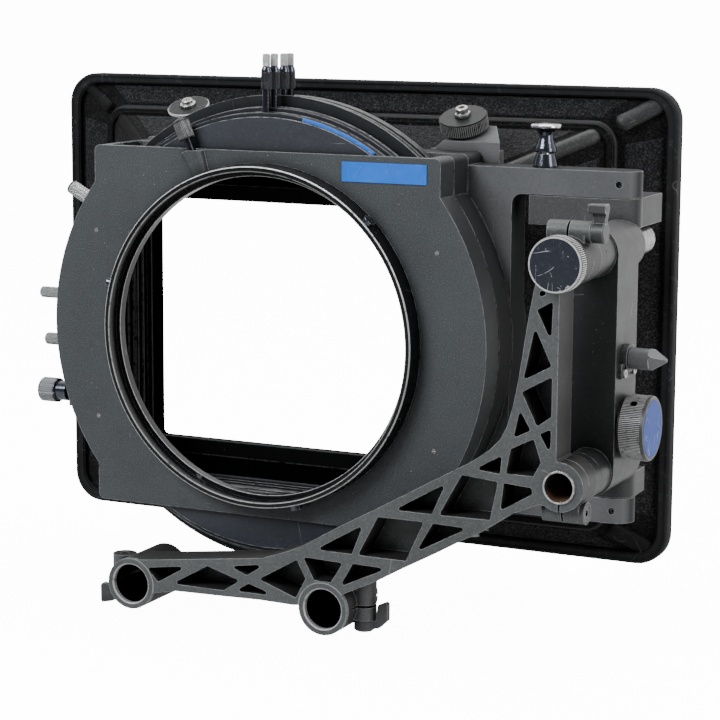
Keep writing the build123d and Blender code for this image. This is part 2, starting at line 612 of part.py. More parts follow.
def stage_housing():
    housing = prism_y(tab_outline(), DIVIDER_Y1, FRAME_Y0 + 1)
    housing -= cyl_y(10, FRAME_Y0, 0, 0, 115.6)
    # shadow groove between the housing and the frame in front of it
    housing -= prism_y(tab_outline(-1.0), 31.9, 32.9) - prism_y(tab_outline(0.8), 31.0, 34.0)
    return cut_tray_openings(housing, 10, 40, 40)


def yoke():
    left = 80
    plan = Pos((left + HINGE_X) / 2, 0) * Rectangle(HINGE_X - left, FRAME_T)
    plan += Pos(HINGE_X, 0) * Circle(HINGE_R)
    arms = prism_z(Pos(0, HINGE_Y) * plan, LOW_ARM_Z0, ARM_Z1)
    window = poly([(YOKE_X, LOW_ARM_Z1), (200, LOW_ARM_Z1), (200, ARM_Z0), (YOKE_X, ARM_Z0)])
    window = fillet(window.vertices().filter_by(lambda v: v.X < 150), 5.0)
    return arms - prism_y(window, 20, 60)


def main_frame():
    """Round body, stage housing with its corners, yoke and lock screw pads."""
    frame = prism_y(tab_outline(), FRAME_Y0, FRAME_Y1)
    frame += stage_housing()
    frame += yoke()
    # pad on the left for the three sideways lock screws
    pad = box(-121.0, -100.0, 17.0, 38.0, -47.0, 18.0)
    pad -= cyl_y(10, FRAME_Y0, 0, 0, 116.5)
    frame += pad
    # boss for the radial lock screw
    boss = radial(Pos(0, 0, 118.2) * Box(12.0, 20.0, 4.6), RADIAL_A, 28.0)
    boss += radial(Pos(0, 0, 114.0) * Box(12.0, 5.0, 10.0), RADIAL_A, 35.5)
    boss -= cyl_y(10, FRAME_Y0, 0, 0, 116.5)
    frame += boss
    # window and mask recess
    frame -= prism_y(rrect(WINDOW_X, WINDOW_Z, 3.0), 30, 60)
    frame -= prism_y(rrect(RECESS_X, RECESS_Z, RECESS_R), 30, 36.05)
    # hinge pin and set screw holes
    frame -= cyl_z(ARM_Z0 - 1, ARM_Z1 - 1.0, HINGE_X, HINGE_Y, 4.02)
    frame -= cyl_z(LOW_ARM_Z0 + 1.0, LOW_ARM_Z1 + 1, HINGE_X, HINGE_Y, 4.02)
    for z in PIN_SCREW_Z:
        frame -= cyl_y(30, HINGE_Y, PIN_SCREW_X, z, 1.55)
    # latch housing seat
    frame -= cyl_z(ARM_Z0 - 1, ARM_Z1 + 1, LATCH_X, HINGE_Y, 4.05)
    # lock screw holes
    for z in (LOCK_UPPER_Z, LOCK_LOWER_Z, LOCK_SIDE_Z):
        frame -= cyl_x(-125, -100, LOCK_Y, z, 1.85)
    return frame - radial(disc_z(118, 1.85, 20), RADIAL_A, RADIAL_Y)


def aperture_mask():
    plate = rrect(RECESS_X - FIT, RECESS_Z - FIT, RECESS_R - FIT)
    return prism_y(plate, FRAME_Y0 + 0.05, 36.0) - prism_y(rrect(MASK_X, MASK_Z, 1.5), 30, 40)


def hinge_set_screw(z):
    socket = Pos(PIN_SCREW_X, z) * RegularPolygon(0.8, 6)
    return cyl_y(34.2, 37.7, PIN_SCREW_X, z, 1.5) - prism_y(socket, 33, 35.2)


save("main_frame", main_frame())
save("aperture_mask", aperture_mask())
save("hinge_pins", [cyl_z(60.6, ARM_Z1 - 1.1, HINGE_X, HINGE_Y, 3.99),
                    cyl_z(LOW_ARM_Z0 + 1.1, -60.6, HINGE_X, HINGE_Y, 3.99)])
save("hinge_set_screws", [hinge_set_screw(z) for z in PIN_SCREW_Z])

# swing latch; sections are distance from the latch axis, and Z
LATCH_HEAD = [(0, 83.9), (3.99, 83.9), (3.99, 84.03), (5.9, 84.03), (5.9, 84.8), (4.6, 90.2),
              (0, 90.2)]
PULL_KNOB = [(0, 90.9), (5.0, 90.9), (5.3, 91.6), (5.1, 93.0), (4.2, 95.0), (3.45, 97.5),
             (3.3, 99.0), (3.9, 100.5), (5.4, 101.6), (7.0, 102.3), (7.3, 102.8), (7.2, 103.5),
             (6.5, 104.1), (0, 104.6)]


def on_latch(z0, z1, radius):
    return cyl_z(z0, z1, LATCH_X, HINGE_Y, radius)


def latch_turned(section):
    return revolve(Pos(LATCH_X, HINGE_Y, 0) * (Plane.XZ * poly(section)),
                   axis=Axis((LATCH_X, HINGE_Y, 0), (0, 0, 1)))


def latch_housing():
    housing = on_latch(ARM_Z0 + 0.2, ARM_Z1, 4.0)
    housing += latch_turned(LATCH_HEAD)
    # pin bore, spring chamber, stem bore
    housing -= on_latch(70, 73.7, 2.05)
    housing -= on_latch(73.6, 87.6, 3.3)
    return housing - on_latch(87, 92, 1.75)


def latch_pin():
    pin = on_latch(71.75, 77.4, 1.98) + on_latch(77.3, 78.3, 3.15) + on_latch(78.2, 96.1, 1.68)
    return bevel(pin, Axis.Z, 0, 0.5)


save("latch_housing", latch_housing())
save("latch_pull_knob", latch_turned(PULL_KNOB) - on_latch(90, 96.2, 1.72))
save("latch_pin", latch_pin())
save("latch_spring", Pos(LATCH_X, HINGE_Y, 78.7) * coil(2.55, 0.35, 2.1, 8.2))


def lock_screw(z, head_x0, head_x1, radius, teeth, tip_x):
    """Knurled screw entering the frame from the left."""
    screw = cyl_x(tip_x, head_x0 + 1.0, LOCK_Y, z, 1.8)
    knurl = Pos(LOCK_Y, z) * serrated(radius, radius - 0.25, teeth)
    screw += prism_x(knurl, head_x0 + 0.5, head_x1)
    return screw + cyl_x(head_x0, head_x0 + 0.6, LOCK_Y, z, radius - 0.5)


def radial_lock_screw():
    screw = disc_z(122.0, 1.8, 11.4)
    screw += prism_z(serrated(3.45, 3.15, 26), 124.0, 138.6)
    screw += disc_z(138.8, 3.0, 0.8)
    return radial(screw, RADIAL_A, RADIAL_Y)


save("stage_lock_screw_upper", lock_screw(LOCK_UPPER_Z, -139.4, -128.5, 2.9, 24, -116.0))
save("stage_lock_screw_lower", lock_screw(LOCK_LOWER_Z, -136.8, -127.6, 3.15, 24, -115.6))
save("side_knurled_screw", lock_screw(LOCK_SIDE_Z, -139.6, -130.0, 6.3, 36, -109.0)
     + cyl_x(-130.1, -124.0, LOCK_Y, LOCK_SIDE_Z, 5.0))
save("radial_lock_screw", radial_lock_screw())
save("label_plate", box(42.6, 86.2, -0.35, -0.02, 76.8, 86.2))

# ================================================================ HOOD
FLAG_Y0, FLAG_Y1 = 50.62, 66.0     # back and front faces of the flag brackets
FLAG_Z0 = 93.8                     # height of the bracket's sloping face at its back
FLAG_SLOPE = 0.4453                # rise of that face per mm of Y
FLAG_TILT = radians(24.0)          # lean of the clamp axes towards the camera
FLAG_KNOB_Y = 61.0
# clamp axis X, side, X range of the bracket at its back face, and at its front face
FLAG_UPPER_RIGHT = (79.5, 1, (66.3, 101.7), (66.3, 93.8))
FLAG_UPPER_LEFT = (-72.5, 1, (-81.5, -63.5), (-81.5, -63.5))
FLAG_LOWER_RIGHT = (79.5, -1, (66.3, 92.7), (66.3, 92.7))
FLAG_LOWER_LEFT = (-79.5, -1, (-92.7, -66.3), (-92.7, -66.3))
FLAG_SPOTS = [FLAG_UPPER_RIGHT, FLAG_UPPER_LEFT, FLAG_LOWER_RIGHT, FLAG_LOWER_LEFT]


def face_at(y, half_x, half_z, radius):
    return Plane.XZ.offset(-y) * rrect(half_x, half_z, radius)


def on_flag_axis(shape, spot):
    """Put a shape modelled along +Z on the tilted clamp axis of a flag bracket."""
    x, side = spot[:2]
    origin = (x, FLAG_KNOB_Y, side * (FLAG_Z0 + (FLAG_KNOB_Y - FLAG_Y0) * FLAG_SLOPE))
    direction = (0.0, -sin(FLAG_TILT), side * cos(FLAG_TILT))
    return Plane(origin=origin, z_dir=direction).location * shape


def flag_bracket(side, back, front):
    profile = [(FLAG_Y0, side * 80.0), (FLAG_Y0, side * FLAG_Z0), (FLAG_Y1, side * 100.65),
               (FLAG_Y1, side * 88.0), (MOUNT_Y1, side * 80.0)]
    plan = poly([(back[0], 50.0), (back[1], 50.0), (back[1], FLAG_Y0),
                 (front[1], FLAG_Y1), (front[0], FLAG_Y1)])
    bracket = prism_x(poly(profile), back[0], back[1]) & prism_z(plan, -110, 110)
    if back[1] > 100:
        # the widest bracket has its inner top corner cut away under the knob
        bracket -= prism_y(poly([(60.0, 82.6), (84.0, 104.6), (60.0, 112.0)]), 40, 80)
    return bracket


def hood_mount():
    mount = prism_y(rrect(96.0, 84.0, 6.0), FRAME_Y1 + 0.02, MOUNT_Y1)
    mount -= prism_y(rrect(WINDOW_X, WINDOW_Z, 3.0), 40, 60)
    mount += box(-92, -63.5, FLAG_Y0, MOUNT_Y1, 80, 90) + box(66, 101.7, FLAG_Y0, MOUNT_Y1, 80, 90)
    for _, side, back, front in FLAG_SPOTS:
        mount += flag_bracket(side, back, front)
    for spot in FLAG_SPOTS:
        mount -= on_flag_axis(disc_z(-3.0, 2.6, 16), spot)
    # flared clearance for the picture opening
    return mount - loft([face_at(49.0, WINDOW_X, WINDOW_Z, 3.0),
                         face_at(STEP_Y + 3, 138.6, 96.6, 9.0)])


def step_opening():
    return prism_y(rrect(STEP_X - 1.4, STEP_Z - 1.4, 8.0), 80, 120)


def hood_funnel():
    outer = loft([face_at(FUNNEL_Y0, 92.0, 76.0, 6.0), face_at(STEP_Y, STEP_X, STEP_Z, 9.0)])
    inner = loft([face_at(FUNNEL_Y0 - 3.0, 86.6, 70.4, 5.0),
                  face_at(STEP_Y + 3.0, STEP_X + 1.0, STEP_Z + 0.6, 8.0)])
    funnel = outer - inner
    funnel -= box(-200, 200, 40, FUNNEL_Y0, -200, 200)
    # front flange
    flange = prism_y(rrect(STEP_X + 1.6, STEP_Z + 1.6, 10.0), STEP_Y - 3.0, STEP_Y + 4.0)
    funnel += flange - step_opening()
    # reliefs round the flag brackets
    for _, side, back, _ in FLAG_SPOTS:
        relief = [(40, side * 76.0), (40, side * 110.0), (66.1, side * 110.0),
                  (66.1, side * 82.0), (56.0, side * 76.0)]
        funnel -= prism_x(poly(relief), back[0] - 0.2, back[1] + 0.2)
    return funnel


def brim_flare(y0, y1):
    return loft([face_at(y0, STEP_X + 2.2, STEP_Z + 2.2, 10.0),
                 face_at(y1, BRIM_X, BRIM_Z, BRIM_R)])


def hood_brim():
    """Shallow dish from the funnel flange out to the rim."""
    brim = brim_flare(STEP_Y + 4.1, 108.5) + prism_y(rrect(BRIM_X, BRIM_Z, BRIM_R), 108.5, 111.4)
    brim -= brim_flare(STEP_Y + 7.1, 111.5)
    return brim - step_opening()


def hood_rim():
    rim = prism_y(rrect(HOOD_X, HOOD_Z, 16.0), 104.6, HOOD_Y1)
    rim -= prism_y(rrect(BRIM_X + FIT, BRIM_Z + FIT, BRIM_R), 100, 115)
    # round the outer rear edges
    rear = rim.edges().group_by(Axis.Y)[0]
    outer = rear.filter_by(lambda e: abs(e.center().X) > 170 or abs(e.center().Z) > 116)
    return fillet(outer, 2.0)


def flag_shank():
    return disc_z(-4.0, 2.55, 9.0)


def flag_knob():
    """Knurled knob with a hexagonal socket in its end."""
    knob = flag_shank()
    knob += prism_z(serrated(11.8, 11.35, 72), 1.6, 7.2)
    knob += disc_z(7.5, 11.3, 0.7)
    knob += disc_z(0.95, 7.0, 1.4)
    knob += disc_z(9.6, 2.6, 3.8)
    knob += disc_z(8.3, 3.4, 1.0)
    return knob - Pos(0, 0, 11.4) * extrude(RegularPolygon(1.5, 6), amount=1.6, both=True)


def raised_disc():
    """Thin disc standing off the bracket on its shank."""
    disc = flag_shank()
    disc += disc_z(4.0, 2.55, 7.0)
    disc += bevel(disc_z(7.8, 10.75, 1.3), Axis.Z, -1, 0.3)
    disc += disc_z(9.2, 3.6, 1.5) + disc_z(10.5, 2.6, 1.2)
    return disc - Pos(0, 0, 11.0) * Box(6.4, 0.7, 0.9)


def lower_disc():
    disc = flag_shank()
    disc += disc_z(1.8, 10.3, 3.0)
    disc += disc_z(3.9, 2.9, 1.6)
    return disc - Pos(0, 0, 4.6) * Box(6.4, 0.8, 1.2)


save("hood_mount", hood_mount())
save("hood_funnel", hood_funnel())
save("hood_brim", hood_brim())
save("hood_rim", hood_rim())
save("flag_knob_right", on_flag_axis(flag_knob(), FLAG_UPPER_RIGHT))
save("flag_disc_left", on_flag_axis(raised_disc(), FLAG_UPPER_LEFT))
save("flag_disc_lower_right", on_flag_axis(lower_disc(), FLAG_LOWER_RIGHT))
save("flag_disc_lower_left", on_flag_axis(lower_disc(), FLAG_LOWER_LEFT))
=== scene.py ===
# A camera matte box on its swing-away carriage and rod bracket.
# The light path runs along Y through the origin: the lens ring is at the -Y end and the hood
# opens towards +Y. +X is right, +Z is up. The two support rods lie parallel to Y, below.
from functools import reduce
from math import sin, cos, radians, pi, sqrt, floor
import bpy
import bmesh
from mathutils import Vector, Matrix, noise


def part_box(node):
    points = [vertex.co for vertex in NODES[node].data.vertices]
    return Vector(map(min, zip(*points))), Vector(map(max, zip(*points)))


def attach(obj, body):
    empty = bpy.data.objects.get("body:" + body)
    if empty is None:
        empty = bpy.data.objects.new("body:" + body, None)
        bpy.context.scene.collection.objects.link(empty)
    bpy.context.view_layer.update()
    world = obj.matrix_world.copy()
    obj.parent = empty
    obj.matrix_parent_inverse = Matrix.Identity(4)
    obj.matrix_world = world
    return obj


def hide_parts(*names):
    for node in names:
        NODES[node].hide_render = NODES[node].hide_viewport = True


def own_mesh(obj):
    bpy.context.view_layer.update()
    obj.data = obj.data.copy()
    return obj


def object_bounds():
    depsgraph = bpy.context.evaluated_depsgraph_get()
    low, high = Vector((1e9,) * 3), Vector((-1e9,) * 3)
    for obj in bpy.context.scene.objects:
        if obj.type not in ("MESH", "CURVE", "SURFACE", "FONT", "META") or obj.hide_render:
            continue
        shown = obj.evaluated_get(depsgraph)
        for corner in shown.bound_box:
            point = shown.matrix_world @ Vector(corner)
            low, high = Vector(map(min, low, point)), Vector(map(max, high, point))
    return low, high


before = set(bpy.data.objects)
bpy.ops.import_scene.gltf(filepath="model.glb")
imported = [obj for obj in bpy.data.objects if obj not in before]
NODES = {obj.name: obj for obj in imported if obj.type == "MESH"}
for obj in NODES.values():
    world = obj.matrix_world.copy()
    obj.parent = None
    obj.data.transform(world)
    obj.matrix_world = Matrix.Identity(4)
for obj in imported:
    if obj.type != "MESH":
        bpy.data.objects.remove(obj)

CAD_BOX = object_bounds()
MM = 0.001      # the scene is in metres, most sizes below are in millimetres

# ------------------------------------------------------------------ shared places and sizes, mm
ALONG_X, ALONG_Y, ALONG_Z = (1, 0, 0), (0, 1, 0), (0, 0, 1)


def radial(degrees):
    """Direction square to the light path, measured from +X towards +Z."""
    return (cos(radians(degrees)), 0.0, sin(radians(degrees)))


# an axis is a point and a direction
LIGHT_AXIS = ((0, 0, 0), ALONG_Y)
ROD_AXES = [((x, 0, -120), ALONG_Y) for x in (-52, 52)]
TUBE_X, TUBE_Z = 168.2, 50
TUBE_KNOB_AXIS = ((TUBE_X, 0, TUBE_Z), ALONG_Y)
CARRIAGE_KNOB_AXIS = ((0, 14, -30.6), ALONG_X)
SIDE_SCREW_POINT = (0, 22, -40.5)
RADIAL_SCREW_AXIS = ((0, 25, 0), radial(152.0))
RING_SCREW_AXIS = ((0, -1.2, 0), radial(113.0))
PULL_X, PULL_Y = 128.6, 41.8

# the flag clamps stand on the sloping top of the hood
FLAG_TILT = radians(24.0)
FLAG_Y = 61.0
FLAG_Z = 93.8 + (FLAG_Y - 50.62) * 0.4453
FLAG_DIRECTION = (0.0, -sin(FLAG_TILT), cos(FLAG_TILT))
FLAG_KNOB_AXIS = ((79.5, FLAG_Y, FLAG_Z), FLAG_DIRECTION)
FLAG_DISC_AXIS = ((-72.5, FLAG_Y, FLAG_Z), FLAG_DIRECTION)

# upright handles of the four trays: x, y, bottom of the grip, top of the grip
POSTS = [
    (-0.6, 6.3, 118.6, 126.4),
    (1.0, 11.5, 118.6, 126.4),
    (1.7, 20.1, 118.2, 126.2),
    (2.4, 25.3, 118.2, 126.2),
]

# outer radius and groove depth of each knurl
GRIP_KNURL = dict(radius=2.68, depth=0.26)
TIP_KNURL = dict(radius=1.98, depth=0.24)
SIDE_KNURL = dict(radius=6.42, depth=0.34)
RADIAL_KNURL = dict(radius=3.58, depth=0.28)
RING_KNURL = dict(radius=4.02, depth=0.3)

# ------------------------------------------------------------------ node helpers
MATERIALS = {}
SOCKETS = {
    "color": "Base Color", "rough": "Roughness", "metal": "Metallic",
    "spec": "Specular IOR Level", "normal": "Normal", "sheen": "Sheen Weight",
    "sheen_rough": "Sheen Roughness", "coat": "Coat Weight", "coat_rough": "Coat Roughness",
    "glow_color": "Emission Color", "glow": "Emission Strength",
}


def shade(color, factor):
    return tuple(c * factor for c in color)


class Nodes:
    """A node tree. A value is a number, a tuple or a socket; methods return output sockets."""

    def __init__(self, tree):
        self.tree = tree

    def link(self, value, socket):
        if isinstance(value, (int, float)):
            socket.default_value = value
        elif isinstance(value, tuple):
            socket.default_value = (*value, 1.0)[:len(socket.default_value)]
        else:
            self.tree.links.new(value, socket)

    def node(self, kind, inputs=None, **settings):
        node = self.tree.nodes.new("ShaderNode" + kind)
        for key, value in settings.items():
            setattr(node, key, value)
        for key, value in (inputs or {}).items():
            self.link(value, node.inputs[key])
        return node

    def ramp(self, value, span, to=(0.0, 1.0)):
        """Maps the two ends of span to the two ends of to, clamped."""
        inputs = {0: value, 1: span[0], 2: span[1], 3: to[0], 4: to[1]}
        return self.node("MapRange", inputs, clamp=True).outputs[0]

    def blend(self, under, over, mask):
        """Goes from one number to another as the mask rises."""
        return self.node("Mix", {0: mask, 2: under, 3: over}, data_type="FLOAT").outputs[0]


class Surface(Nodes):
    """A new material around one Principled shader, textured in the object's own space."""

    def __init__(self, name):
        material = bpy.data.materials.new(name)
        MATERIALS[name] = material
        material.use_nodes = True
        super().__init__(material.node_tree)
        self.tree.nodes.clear()
        output = self.node("OutputMaterial")
        self.principled = self.node("BsdfPrincipled")
        self.link(self.principled.outputs[0], output.inputs[0])
        coordinates = self.node("TexCoord")
        self.position = coordinates.outputs["Object"]
        # this normal turns with the body, so the finish looks the same at every pose
        self.own_normal = coordinates.outputs["Normal"]

    def set(self, **values):
        for key, value in values.items():
            self.link(value, self.principled.inputs[SOCKETS[key]])

    def math(self, operation, first, second=0.5, clamp=False):
        inputs = {0: first, 1: second}
        return self.node("Math", inputs, operation=operation, use_clamp=clamp).outputs[0]

    def times(self, first, second):
        return self.math("MULTIPLY", first, second)

    def plus(self, first, second, amount=None):
        if amount is not None:
            second = self.times(second, amount)
        return self.math("ADD", first, second)

    def greatest(self, first, second):
        return self.math("MAXIMUM", first, second)

    def absolute(self, value):
        return self.math("ABSOLUTE", value)

    def invert(self, mask):
        return self.math("SUBTRACT", 1.0, mask)

    def tint(self, under, over, mask, amount=None):
        """Lays one colour over another where the mask is on, at most by amount."""
        if amount is not None:
            mask = self.times(mask, amount)
        return self.node("Mix", {0: mask, 6: under, 7: over}, data_type="RGBA").outputs[2]

    def noise(self, scale, detail, rough, stretch=(1, 1, 1), offset=(0, 0, 0), distort=0.0):
        vector = self.position
        if stretch != (1, 1, 1) or offset != (0, 0, 0):
            inputs = {"Vector": vector, "Scale": stretch, "Location": offset}
            vector = self.node("Mapping", inputs).outputs[0]
        inputs = {"Vector": vector, "Scale": scale, "Detail": detail, "Roughness": rough,
                  "Distortion": distort}
        return self.node("TexNoise", inputs).outputs[0]

    def patches(self, scale, span, offset=(0, 0, 0)):
        """A soft mask that keeps an effect to a few places."""
        return self.ramp(self.noise(scale, detail=2.0, rough=0.5, offset=offset), span)

    def dots(self, scale, span):
        """A dot around each centre of a cell pattern."""
        inputs = {"Vector": self.position, "Scale": scale}
        return self.ramp(self.node("TexVoronoi", inputs).outputs["Distance"], span)

    def hair(self, scale, width, stretch=(1, 1, 1), offset=(0, 0, 0), distort=0.3):
        """Thin curved lines along one level of a smooth noise."""
        smooth = self.noise(scale, detail=1.0, rough=0.4, stretch=stretch, offset=offset,
                            distort=distort)
        distance = self.absolute(self.math("SUBTRACT", smooth, 0.5))
        return self.ramp(distance, (width, width * 0.3))

    def bevel(self, radius, samples=4):
        return self.node("Bevel", {"Radius": radius}, samples=samples).outputs[0]

    def cavity(self, distance, amount):
        """Painted shade in corners and gaps: a mask from ambient occlusion."""
        occlusion = self.node("AmbientOcclusion", {"Distance": distance}, samples=3)
        return self.times(self.ramp(occlusion.outputs["AO"], (0.86, 0.30)), amount)

    def vector_math(self, operation, first, second=None):
        inputs = {0: first}
        if second is not None:
            inputs[1] = second
        return self.node("VectorMath", inputs, operation=operation)

    def edge(self, radius, span=(0.02, 0.18)):
        """Sharp edges, where a rounded normal leaves the true one."""
        true_normal = self.node("NewGeometry").outputs["Normal"]
        dot = self.vector_math("DOT_PRODUCT", self.bevel(radius, samples=6), true_normal)
        return self.ramp(self.invert(dot.outputs["Value"]), span)

    def bump(self, height, depth, strength, normal=None):
        inputs = {"Strength": strength, "Distance": depth, "Height": height}
        if normal is not None:
            inputs["Normal"] = normal
        return self.node("Bump", inputs).outputs[0]

    def axis_distance(self, axis):
        """Distance in metres from an axis given in millimetres."""
        point, direction = axis
        arm = self.vector_math("SUBTRACT", self.position, shade(point, MM)).outputs[0]
        unit = tuple(Vector(direction).normalized())
        across = self.vector_math("CROSS_PRODUCT", arm, unit).outputs[0]
        return self.vector_math("LENGTH", across).outputs["Value"]

    def ramp_mm(self, distance, span, to=(0.0, 1.0)):
        return self.ramp(distance, shade(span, MM), to)

    def facing(self, direction):
        return self.vector_math("DOT_PRODUCT", self.own_normal, direction).outputs["Value"]

    def xyz(self):
        return self.node("SeparateXYZ", {0: self.position}).outputs


# ------------------------------------------------------------------ kinds of finish
# painted shade: near black for what lies deep inside the light path
INSIDE_PAINTED_SHADE = (0.0010, 0.0012, 0.0016)


def light_path_mask(g):
    """The box, in metres, behind the rear face where everything lines the light path and is
    painted black as shade.
    """
    x, y, z = g.xyz()
    within = g.times(g.math("LESS_THAN", g.absolute(x), 0.0905),
                     g.math("LESS_THAN", g.absolute(z), 0.0785))
    return g.times(within, g.math("GREATER_THAN", y, 0.0012))


def ring_and_rim_wear_and_highlight(g, wear_and_highlight, rings, rims):
    """Adds bright bands between two radii, and outside a radius: worn metal, and a painted
    highlight along rims and chamfers.
    """
    patch = g.noise(scale=330.0, detail=4.0, rough=0.7, offset=(8.0, 3.0, 1.0))
    patch = g.ramp(patch, (0.28, 0.46))
    if rings:
        y = g.xyz()[1]
    for axis, inner, outer, y_max, amount in rings:
        distance = g.axis_distance(axis)
        band = g.times(g.ramp_mm(distance, (inner - 0.08, inner + 0.08)),
                       g.ramp_mm(distance, (outer + 0.08, outer - 0.08)))
        band = g.times(band, g.ramp_mm(y, (y_max + 0.2, y_max - 0.2)))
        wear_and_highlight = g.greatest(wear_and_highlight, g.times(g.times(band, patch), amount))
    for axis, radius, amount in rims:
        band = g.ramp_mm(g.axis_distance(axis), (radius - 0.1, radius + 0.12))
        wear_and_highlight = g.greatest(wear_and_highlight, g.times(g.times(band, patch), amount))
    return wear_and_highlight


def anodised(name, base, rough=0.46, grain=1500.0, grain_depth=0.000132, speck=0.35,
             speck_color=(0.2, 0.2, 0.205), wear=0.75, wear_and_highlight_color=(0.42, 0.42, 0.43),
             wear_radius=0.0006, wear_span=(0.012, 0.11), dust=0.25, scratch=0.3, spec=0.5,
             rounding=0.0004, dirt=None, painted_wall_shade=None, above=None, cavity=(0.006, 0.8),
             light_path=False, rings=(), rims=(), holes=(), valleys=()):
    """Blasted, anodised metal with dust, scratches, dirt and bright worn edges, plus painted
    shade and painted highlights.

    dirt: colour and amount; the wall shade argument: colour and amount of painted shade on walls
    that don't face along Y; above: height in mm and the colour over it;
    cavity: reach and amount of the painted shade in corners; light_path: paint what lines the
    light path black, as painted shade;
    rings: axis, inner and outer radius, highest y, amount; rims: axis, radius, amount; both add
    bright bands of wear and painted highlight;
    holes, valleys: axis and the radius within which they are painted black as shade.
    """
    g = Surface(name)
    broad = g.noise(scale=16.0, detail=4.0, rough=0.6)
    blotch = g.noise(scale=120.0, detail=5.0, rough=0.65, offset=(3.1, 1.7, 0.4))
    fine = g.noise(scale=grain, detail=2.0, rough=0.6)
    color = g.tint(base, shade(base, 1.35), g.ramp(broad, (0.35, 0.68)))
    # sand-blasted sparkle and the dark pits between
    color = g.tint(color, speck_color, g.ramp(fine, (0.53, 0.68)), amount=speck)
    color = g.tint(color, shade(base, 0.35), g.ramp(fine, (0.46, 0.32), to=(0.0, 0.3)))
    if dirt:
        color = g.tint(color, dirt[0], g.ramp(blotch, (0.52, 0.75)), amount=dirt[1])
    if above:
        height, upper = above
        step = (height - 0.4, height + 0.4)
        # painted shade: faces turned to +X take only a quarter of the upper colour, so they stay
        # dark
        mask = g.times(g.ramp_mm(g.xyz()[2], step),
                       g.ramp(g.facing(ALONG_X), (0.9, 0.5), to=(0.25, 1.0)))
        grained = g.tint(upper, shade(upper, 1.6), g.ramp(fine, (0.45, 0.65)), amount=0.5)
        color = g.tint(color, grained, mask)
    # painted shade in the corners and gaps, from ambient occlusion; it also dims the specular
    # there
    painted_cavity_shade = g.cavity(*cavity)
    color = g.tint(color, shade(base, 0.10), painted_cavity_shade)
    spec = g.times(g.invert(g.times(painted_cavity_shade, 0.8)), spec)
    if above:
        spec = g.times(g.ramp_mm(g.xyz()[2], step, to=(1.0, 0.45)), spec)
    # dust specks
    specks = g.times(g.dots(scale=330.0, span=(0.11, 0.05)),
                     g.patches(scale=60.0, span=(0.52, 0.62), offset=(9.0, 2.0, 5.0)))
    color = g.tint(color, (0.5, 0.5, 0.5), specks, amount=dust)
    # hair-fine scratches, only here and there
    upright = g.times(
        g.hair(scale=26.0, width=0.0016, stretch=(1.0, 1.0, 0.12), distort=0.0),
        g.patches(scale=60.0, span=(0.60, 0.64), offset=(4.0, 2.0, 7.0)))
    level = g.times(
        g.hair(scale=34.0, width=0.0022, stretch=(0.10, 1.0, 1.0), offset=(4.0, 0.0, 2.0),
               distort=0.0),
        g.patches(scale=80.0, span=(0.61, 0.65), offset=(1.0, 9.0, 3.0)))
    scratches = g.times(g.greatest(upright, level), scratch)
    color = g.tint(color, tuple(c * 0.6 + 0.05 for c in wear_and_highlight_color), scratches)
    # painted shade: walls that don't face along Y are darkened towards the given colour
    if painted_wall_shade:
        side = g.ramp(g.absolute(g.facing(ALONG_Y)), (0.75, 0.35))
        color = g.tint(color, painted_wall_shade[0], side, amount=painted_wall_shade[1])
    # painted shade: the valleys between a knob's serrations are painted near black
    for axis, radius in valleys:
        groove = g.times(g.ramp_mm(g.axis_distance(axis), (radius, radius - 0.22)),
                         g.ramp(g.absolute(g.facing(axis[1])), (0.6, 0.3)))
        color = g.tint(color, (0.0015, 0.0015, 0.0015), groove)
    black_masks = []
    # painted shade: the inside of each hole is painted near black
    for axis, radius in holes:
        mask = g.ramp_mm(g.axis_distance(axis), (radius, radius - 0.1))
        color = g.tint(color, (0.0012, 0.0012, 0.0012), mask)
        black_masks.append(mask)
    # painted shade: everything inside the light path is painted near black and loses its
    # specular
    if light_path:
        mask = light_path_mask(g)
        color = g.tint(color, INSIDE_PAINTED_SHADE, mask)
        black_masks.append(mask)
    # bright worn edges, broken up so they don't read as an outline
    chipped = g.noise(scale=210.0, detail=5.0, rough=0.7, offset=(1.0, 5.0, 2.0))
    wear_and_highlight = g.times(g.edge(wear_radius, wear_span), g.ramp(chipped, (0.34, 0.52)))
    wear_and_highlight = g.math("MULTIPLY", wear_and_highlight, wear, clamp=True)
    if black_masks:
        black = reduce(g.greatest, black_masks)
        spec = g.times(g.invert(black), spec)
        wear_and_highlight = g.times(wear_and_highlight, g.invert(g.times(black, 0.8)))
    # bright bands on rings and rims: worn metal and painted highlight
    if rings or rims:
        wear_and_highlight = ring_and_rim_wear_and_highlight(g, wear_and_highlight, rings, rims)
    relief = g.plus(g.times(fine, 1.0), scratches, amount=-0.8)
    g.set(color=g.tint(color, wear_and_highlight_color, wear_and_highlight),
          rough=g.blend(g.plus(rough - 0.09, blotch, amount=0.18), 0.34, wear_and_highlight),
          metal=g.blend(0.0, 0.25, wear_and_highlight),
          spec=spec,
          normal=g.bump(relief, grain_depth, strength=0.8, normal=g.bevel(rounding)))


